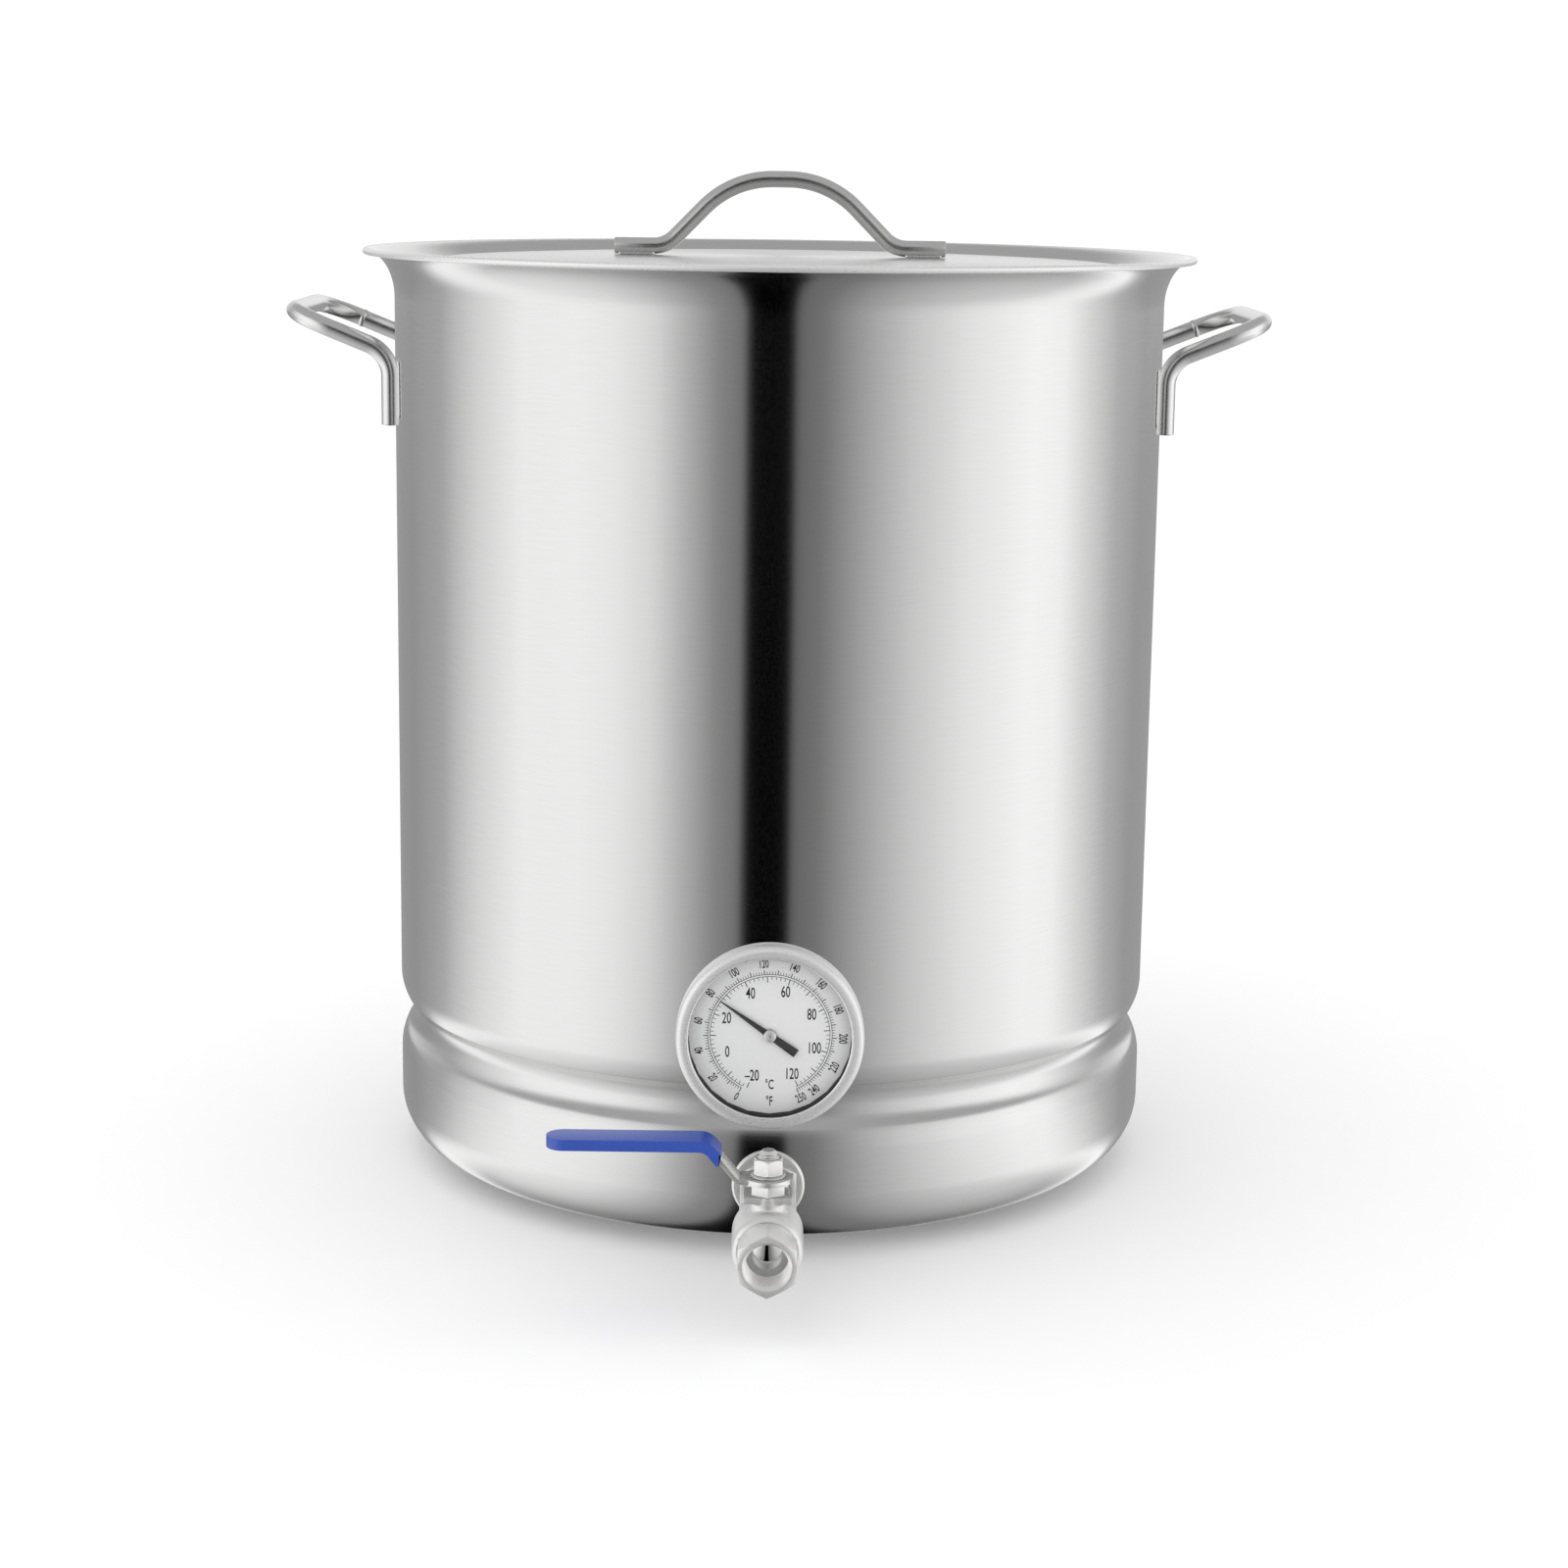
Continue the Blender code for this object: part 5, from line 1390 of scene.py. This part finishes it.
@dataclass
class Thermometer:
    """Dial thermometer: case, bezel, glass, printed dial, pointer and probe."""

    case_radius: float = 0.0415
    case_wall: float = 0.0012
    bezel_radius: float = 0.0440
    bezel_depth: float = 0.0118
    bezel_lip: float = 0.0012
    opening_radius: float = 0.0380
    lens_radius: float = 0.0412
    dial_radius: float = 0.0397
    shaft_hole: float = 0.0009
    probe_bore: float = 0.0035
    print_height: float = 0.00005
    zero_angle: float = 27.0           # degrees clockwise from the bottom, at 0 degrees F
    degree_angle: float = 1.228        # for each degree F
    outer_line: float = 0.0290
    inner_line: float = 0.0280
    outer_numbers: float = 0.0340
    inner_numbers: float = 0.0217
    outer_type: float = 0.0056
    inner_type: float = 0.0076
    sign_type: float = 0.0066
    celsius_sign: float = -0.0244
    fahrenheit_sign: float = -0.0325
    type_width: float = 0.58           # the type is condensed to this share
    type_weight: float = 0.00009       # how far an outline is moved out
    long_width: float = 0.00040
    short_width: float = 0.00026
    pointer_angle: float = math.radians(55.0)
    pointer_length: float = 0.0285
    pointer_tail: float = 0.0150
    hub_radius: float = 0.0029
    fitting_flats: float = 0.0254
    fitting_back: float = 0.2021
    fitting_front: float = 0.2101
    thread_radius: float = 0.0102
    thread_depth: float = 0.0006
    thread_pitch: float = 0.0018
    neck_radius: float = 0.0085

    def build(self, palette: Palette) -> None:
        """Model and dress the thermometer."""
        self.height = middle("thermo_bezel").z
        self.housing(palette)
        self.dial(palette)
        self.pointer(palette)
        self.fitting(palette)

    def front_piece(self, name: str, outline: Profile, material: Material,
                    stands_for: tuple[str, ...], steps: int = 128) -> Piece:
        """Turn a piece on the dial's axis and hand it over."""
        piece = face_front(revolve(name, outline, steps), self.height)
        return hand_over(piece, material, "kettle", stands_for)

    def housing(self, palette: Palette) -> None:
        """Model the pan, the crimped bezel and the glass."""
        back, front = span("thermo_case")
        inner = self.case_radius - self.case_wall
        self.front_piece("dial_pan", [
            (self.probe_bore, back), (0.030, back), (0.0305, back + 0.0003),
            (0.0315, back + 0.0003), (0.032, back), (self.case_radius - 0.0025, back),
            (self.case_radius - 0.0008, back + 0.0008), (self.case_radius, back + 0.0025),
            (self.case_radius, front), (inner, front), (inner, back + self.case_wall),
            (self.probe_bore, back + self.case_wall)], palette.machined, ("thermo_case",))
        face = span("thermo_bezel")[1]
        skirt = self.case_radius + GAP
        rim = self.bezel_radius
        tail = face - self.bezel_depth
        opening = self.opening_radius
        self.front_piece("dial_bezel", [
            (skirt, tail + 0.0004), (skirt + 0.0005, tail), (rim - 0.0006, tail),
            (rim - 0.0001, tail + 0.0005), (rim - 0.0001, tail + 0.0022),
            (rim - 0.0007, tail + 0.0026), (rim - 0.0007, tail + 0.0034), (rim, tail + 0.0038),
            (rim, face - 0.0030), (rim - 0.0002, face - 0.0019), (rim - 0.0008, face - 0.0010),
            (rim - 0.0016, face - 0.0004), (rim - 0.0026, face), (opening + 0.0013, face),
            (opening + 0.0011, face - 0.0004), (opening + 0.0008, face - 0.0004),
            (opening + 0.0006, face - 0.0001), (opening + 0.0002, face - 0.0003),
            (opening, face - 0.0007),
            (opening, face - self.bezel_lip), (skirt, face - self.bezel_lip)],
            palette.bezel, ("thermo_bezel",))
        back, front = span("thermo_lens")
        self.front_piece("dial_glass", [
            (0.0, back), (self.lens_radius - 0.0003, back), (self.lens_radius, back + 0.0003),
            (self.lens_radius, front - 0.0003), (self.lens_radius - 0.0003, front),
            (0.0, front)], palette.glass, ("thermo_lens",))
        # The gasket's black is partly real rubber and partly painted shade for the bezel's shaded
        # inner wall, seen as a dark crescent.
        dress_node("lens_gasket", palette.rubber)

    def turn_of(self, fahrenheit: float) -> float:
        """Return the turn of a reading, anticlockwise from upright, in radians."""
        return math.radians(180.0 - self.zero_angle - self.degree_angle * fahrenheit)

    def dial(self, palette: Palette) -> None:
        """Model the plate and print its two scales."""
        back, self.plate_front = span("dial_plate")
        edge = self.dial_radius
        self.front_piece("dial_face", [
            (self.shaft_hole, back), (edge - 0.0001, back), (edge, back + 0.0001),
            (edge, self.plate_front - 0.0001), (edge - 0.0001, self.plate_front),
            (0.0050, self.plate_front), (0.0047, self.plate_front + 0.0004),
            (0.0040, self.plate_front + 0.0006), (0.0030, self.plate_front + 0.0005),
            (self.shaft_hole, self.plate_front + 0.0005)],
            palette.enamel, ("dial_plate",))
        marks = [self.line(self.outer_line), self.line(self.inner_line)]
        for reading in range(0, 251, 2):
            long = reading % 10 == 0
            marks.append(self.tick(reading, self.outer_line, 0.0022 if long else 0.0014,
                                   self.long_width if long else self.short_width))
        for reading in range(-18, 122, 2):
            long = reading % 10 == 0
            marks.append(self.tick(fahrenheit_of(reading), self.inner_line,
                                   -0.0028 if long else -0.0016,
                                   self.long_width if long else self.short_width))
        marks.append(self.tick(fahrenheit_of(-20), self.inner_line, -0.0028,
                               self.long_width))
        self.print_piece("dial_scales", marks, palette)
        numbers = [self.number(str(reading), reading, self.outer_numbers, self.outer_type,
                               True) for reading in (*range(0, 241, 20), 250)]
        self.print_piece("dial_numbers_outer", numbers, palette)
        numbers = [self.number(str(reading).replace("-", "–"), fahrenheit_of(reading),
                               self.inner_numbers, self.inner_type, False)
                   for reading in range(-20, 121, 20)]
        self.print_piece("dial_numbers_inner", numbers, palette)
        signs = [self.letter("°C", self.celsius_sign, self.sign_type),
                 self.letter("°F", self.fahrenheit_sign, self.sign_type)]
        self.print_piece("dial_signs", signs, palette)

    def print_piece(self, name: str, marks: list[Piece], palette: Palette) -> None:
        """Join printed marks and lay them on the plate."""
        piece = join_pieces(name, marks)
        apply_place(piece)
        piece.location = (0.0, 0.0, self.plate_front)
        hand_over(face_front(piece, self.height), palette.ink, "kettle", ())

    def line(self, radius: float) -> Piece:
        """Print one of the two circles between the scales."""
        gap_low = self.turn_of(250)
        gap_high = self.turn_of(0)
        half = 0.00013
        piece = start_from_point("line", Vector((0.0, radius - half, 0.0)))
        extrude_by(Vector((0.0, 2 * half, 0.0)))
        bpy.ops.mesh.select_all(action="SELECT")
        bpy.ops.mesh.spin(steps=160, angle=-(gap_high - gap_low), center=(0, 0, 0),
                          axis=(0, 0, 1))
        bpy.ops.mesh.select_all(action="SELECT")
        extrude_by(Vector((0.0, 0.0, self.print_height)))
        bpy.ops.object.mode_set(mode="OBJECT")
        piece.rotation_euler = (0.0, 0.0, gap_low)
        apply_place(piece)
        tidy_mesh(piece)
        return piece

    def tick(self, fahrenheit: float, start: float, length: float, width: float) -> Piece:
        """Print one tick, outwards from a radius, or inwards if its length is negative."""
        clear_selection()
        bpy.ops.mesh.primitive_plane_add(size=1.0, location=(0.0, start + length / 2, 0.0))
        piece = name_piece("tick")
        piece.scale = (width, abs(length), 1.0)
        apply_place(piece)
        bpy.ops.object.mode_set(mode="EDIT")
        bpy.ops.mesh.select_all(action="SELECT")
        extrude_by(Vector((0.0, 0.0, self.print_height)))
        bpy.ops.mesh.select_all(action="SELECT")
        bpy.ops.mesh.normals_make_consistent(inside=False)
        bpy.ops.object.mode_set(mode="OBJECT")
        piece.rotation_euler = (0.0, 0.0, self.turn_of(fahrenheit))
        apply_place(piece)
        return piece

    def letter(self, text: str, height: float, size: float) -> Piece:
        """Print a word upright below the dial's middle."""
        clear_selection()
        bpy.ops.object.text_add(location=(0.0, 0.0, 0.0))
        words = bpy.context.object
        words.data.body = text
        words.data.size = size
        words.data.align_x = "CENTER"
        words.data.align_y = "CENTER"
        words.data.resolution_u = 3
        words.data.extrude = self.print_height / 2
        words.data.offset = self.type_weight
        bpy.ops.object.convert(target="MESH")
        piece = name_piece("word")
        piece.scale = (self.type_width, 1.0, 1.0)
        piece.location = (0.0, height, self.print_height / 2)
        apply_place(piece)
        tidy_mesh(piece)
        return piece

    def number(self, text: str, fahrenheit: float, radius: float, size: float,
               follows: bool) -> Piece:
        """Print one number at its reading.

        Args:
            text: The number.
            fahrenheit: The reading that it stands at.
            radius: How far from the middle it stands.
            size: Height of the type.
            follows: True if it leans with the scale, False if it stands upright.

        Returns:
            The printed number.
        """
        piece = self.letter(text, 0.0, size)
        turn = self.turn_of(fahrenheit)
        if follows:
            readable = math.cos(turn) > -0.35
            piece.rotation_euler = (0.0, 0.0, turn if readable else turn + math.pi)
        piece.location = (-radius * math.sin(turn), radius * math.cos(turn), 0.0)
        apply_place(piece)
        return piece

    def pointer(self, palette: Palette) -> None:
        """Model the needle, its hub and dress its shaft."""
        back, front = span("pointer")
        tail, neck, tip = 0.0021, 0.0014, 0.00022
        needle_points = [(-tail, -self.pointer_tail), (tail, -self.pointer_tail),
                         (tail * 0.80, -self.hub_radius), (neck, self.hub_radius),
                         (tip, self.pointer_length), (-tip, self.pointer_length),
                         (-neck, self.hub_radius), (-tail * 0.80, -self.hub_radius)]
        first = Vector((*needle_points[0], back))
        needle = start_from_point("dial_needle", first)
        for (x, y), (next_x, next_y) in zip(needle_points,
                                            needle_points[1:] + needle_points[:1]):
            extrude_by(Vector((next_x - x, next_y - y, 0.0)))
        bpy.ops.mesh.select_all(action="SELECT")
        bpy.ops.mesh.remove_doubles(threshold=MERGE_DISTANCE)
        bpy.ops.mesh.select_all(action="SELECT")
        bpy.ops.mesh.edge_face_add()
        bpy.ops.mesh.select_all(action="SELECT")
        extrude_by(Vector((0.0, 0.0, front - back)))
        bpy.ops.object.mode_set(mode="OBJECT")
        tidy_mesh(needle)
        boolean(needle, pin("boss", self.hub_radius, back, front, 48), "UNION")
        shank = self.hub_radius / 2
        boolean(needle, pin("eye", shank + GAP, back - 0.001, front + 0.001, 32),
                "DIFFERENCE")
        soften(needle, 0.00008, 2, 40.0)
        needle.rotation_euler = (0.0, 0.0, self.pointer_angle)
        apply_place(needle)
        hand_over(face_front(needle, self.height), palette.pointer, "dial_pointer",
                  ("pointer",))
        foot, top = span("pointer_hub")
        rim = self.hub_radius
        hub = revolve("dial_hub", [
            (0.00075, foot), (shank, foot), (shank, front + GAP), (rim, front + GAP),
            (rim, top - 0.0009), (rim - 0.0004, top - 0.0003), (rim - 0.0010, top),
            (0.0010, top), (0.00075, top - 0.0002)], 48)
        hand_over(face_front(hub, self.height), palette.bezel, "dial_pointer",
                  ("pointer_hub",))
        dress_node("pointer_shaft", palette.machined)

    def fitting(self, palette: Palette) -> None:
        """Model the wall fitting and dress the probe and its coil."""
        inner, outer = span("thermo_fitting")
        flats, hex_low, hex_high = self.fitting_flats, self.fitting_back, self.fitting_front
        thread_radius, neck_radius = self.thread_radius, self.neck_radius
        nut = hexagon("probe_fitting", flats, hex_low, hex_high)
        trim_corners(nut, flats / 2, hex_high, STEEP_TRIM)
        trim_corners(nut, flats / 2, hex_low, STEEP_TRIM, -1)
        outline: Profile = [(0.0, inner)]
        outline += thread(thread_radius, self.thread_depth, inner + 0.0004,
                          hex_low - 0.0012, self.thread_pitch)
        outline += [(thread_radius - self.thread_depth, hex_low + 0.001),
                    (neck_radius, hex_low + 0.002), (neck_radius, outer - 0.0016),
                    (neck_radius + 0.0014, outer), (0.0, outer)]
        boolean(nut, revolve("shank", outline), "UNION")
        boolean(nut, pin("bore", self.probe_bore, inner - PAST, outer + PAST),
                "DIFFERENCE")
        hand_over(face_front(nut, self.height), palette.machined, "kettle",
                  ("thermo_fitting",))
        dress_node("thermo_probe", palette.rod)
        dress_node("bimetal_coil", palette.bimetal)


# Studio

@dataclass(frozen=True)
class Card:
    """Part of the studio's ring of lit and dark cards."""

    bearing: float      # degrees from the front, positive to the object's right
    light: float


@dataclass
class Studio:
    """Pale floor, soft surround of cards, one soft light and the camera."""

    distance: float = 1.5997
    camera_height: float = 0.5288
    lamp_place: tuple[float, float, float] = (-1.1, -1.3, 2.2)
    lamp_target: tuple[float, float, float] = (0.0, 0.0, 0.2)
    lamp_size: float = 2.6
    lamp_watts: float = 8.0
    pitch: float = math.radians(10.88)
    roll: float = 0.0128
    lens: float = 69.5
    shift_x: float = 0.0065
    shift_y: float = -0.0298
    floor_size: float = 60.0
    daylight: float = 1.10          # what lights dull surfaces and the background
    surround: float = 1.30          # what bright surfaces reflect
    backdrop: float = 0.72          # behind the object, above the horizon
    overhead: float = 0.34
    fold: float = -0.30             # below this height the cards in front also stand behind
    cards: tuple[Card, ...] = (
        Card(-180, 0.26), Card(-140, 0.26), Card(-118, 0.36), Card(-100, 0.63),
        Card(-80, 0.86), Card(-60, 0.88), Card(-47, 0.83), Card(-36, 0.70), Card(-26, 0.44),
        Card(-17, 0.24), Card(-10, 0.17), Card(-8, 0.0), Card(4, 0.0), Card(6, 0.13),
        Card(13, 0.17), Card(24, 0.34), Card(40, 0.59), Card(58, 0.80), Card(80, 0.94),
        Card(92, 0.90), Card(104, 0.66), Card(120, 0.41), Card(138, 0.29), Card(180, 0.26))

    def build(self) -> None:
        """Set up the floor, the surround, the light and the camera."""
        self.floor()
        self.world()
        self.light()
        self.camera()
        bpy.context.scene.view_settings.view_transform = "Standard"

    def floor(self) -> None:
        """Lay a plain pale floor."""
        clear_selection()
        bpy.ops.mesh.primitive_plane_add(size=self.floor_size)
        floor = name_piece("studio_floor")
        floor.data.materials.append(Finish("pale_floor", (0.96, 0.96, 0.96), 0.90,
                                           metallic=0.0, grain=Grain.MOULDED, marks=30.0,
                                           color_spread=0.004, specular=0.0).make())
        floor.visible_glossy = False

    def world(self) -> None:
        """Ring the object with cards that only reflections see, and a white surround."""
        world = bpy.data.worlds.new("soft_surround")
        bpy.context.scene.world = world
        world.use_nodes = True
        tree = world.node_tree

        def math_node(operation: str, *values: Socket | float) -> Socket:
            """Add one Math node and return its value."""
            return wire(tree, "Math", dict(enumerate(values)), operation=operation)

        def ease(value: Socket, low: float, high: float) -> Socket:
            """Rise smoothly from 0 to 1 between two values."""
            return wire(tree, "MapRange", {"Value": value, "From Min": low, "From Max": high},
                        "Result", interpolation_type="SMOOTHSTEP")

        def blend(share: Socket, first: Socket | float, second: Socket | float) -> Socket:
            """Mix two values."""
            return wire(tree, "Mix", {0: share, 2: first, 3: second}, data_type="FLOAT")

        heading = wire(tree, "TexCoord", {}, "Generated")
        split = wire(tree, "SeparateXYZ", {"Vector": heading}).node.outputs
        ahead = math_node("MULTIPLY", split["Y"], -1.0)
        below = math_node("MAXIMUM", math_node("SUBTRACT", self.fold, split["Z"]), 0.0)
        unfolded = math_node("MULTIPLY_ADD", below, 4.0, ahead)
        bearing = math_node("ARCTAN2", split["X"], math_node("MINIMUM", unfolded, 1.0))
        ramp = tree.nodes.new("ShaderNodeValToRGB")
        tree.links.new(math_node("MULTIPLY_ADD", bearing, 1 / math.tau, 0.5),
                       ramp.inputs["Fac"])
        elements = ramp.color_ramp.elements
        while len(elements) > 1:
            elements.remove(elements[-1])
        for number, card in enumerate(self.cards):
            position = card.bearing / 360 + 0.5
            element = elements[0] if number == 0 else elements.new(position)
            element.position = position
            element.color = (card.light, card.light, card.light, 1.0)
        behind = ease(math_node("ABSOLUTE", bearing), math.radians(110), math.radians(150))
        raised = math_node("MULTIPLY", behind, ease(split["Z"], -0.06, 0.05))
        leftwards = math_node("MINIMUM", split["X"], 0.0)
        backdrop = math_node("MULTIPLY_ADD", leftwards, 0.30, self.backdrop)
        ring = blend(raised, ramp.outputs["Color"], backdrop)
        ring = blend(ease(split["Z"], 0.35, 0.62), ring, self.overhead)
        path = tree.nodes.new("ShaderNodeLightPath").outputs
        passing = math_node("SUBTRACT", 1.0, path["Is Transmission Ray"])
        glossy = math_node("MULTIPLY", path["Is Glossy Ray"], passing)
        level = blend(glossy, self.daylight, math_node("MULTIPLY", ring, self.surround))
        background = tree.nodes["Background"]
        background.inputs["Color"].default_value = (1.0, 1.0, 1.0, 1.0)
        tree.links.new(level, background.inputs["Strength"])
        world.cycles.sampling_method = "NONE"

    def light(self) -> None:
        """Hang one large soft light above, in front and to the left."""
        clear_selection()
        bpy.ops.object.light_add(type="AREA", location=self.lamp_place)
        lamp = bpy.context.object
        lamp.name = "soft_light"
        lamp.data.size = self.lamp_size
        lamp.data.energy = self.lamp_watts
        lamp.visible_glossy = False
        lamp.rotation_euler = (Vector(self.lamp_target) - lamp.location).to_track_quat(
            "-Z", "Y").to_euler()

    def camera(self) -> None:
        """Stand the camera in front, a little above the rim."""
        clear_selection()
        bpy.ops.object.camera_add(location=(0.0, -self.distance, self.camera_height))
        camera = bpy.context.object
        camera.name = "studio_camera"
        camera.rotation_mode = "QUATERNION"
        camera.rotation_quaternion = (
            Euler((math.pi / 2 - self.pitch, 0.0, 0.0)).to_quaternion()
            @ Quaternion((0.0, 0.0, 1.0), self.roll))
        camera.data.lens = self.lens
        camera.data.sensor_width = 36.0
        camera.data.shift_x = self.shift_x
        camera.data.shift_y = self.shift_y
        camera.data.clip_start, camera.data.clip_end = 0.01, 100.0
        bpy.context.scene.camera = camera


def main() -> None:
    """Build every sub-assembly in order."""
    logging.basicConfig(level=logging.INFO, format="%(message)s")
    palette = Palette()
    Studio().build()
    Pot().build(palette)
    SideHandle(-1).build(palette)
    SideHandle(1).build(palette)
    Lid().build(palette)
    Strainer().build(palette)
    WallFittings().build(palette)
    ValveHousing().build(palette)
    ValveSpindle().build(palette)
    Thermometer().build(palette)
    clear_selection()


if __name__ == "__main__":
    main()
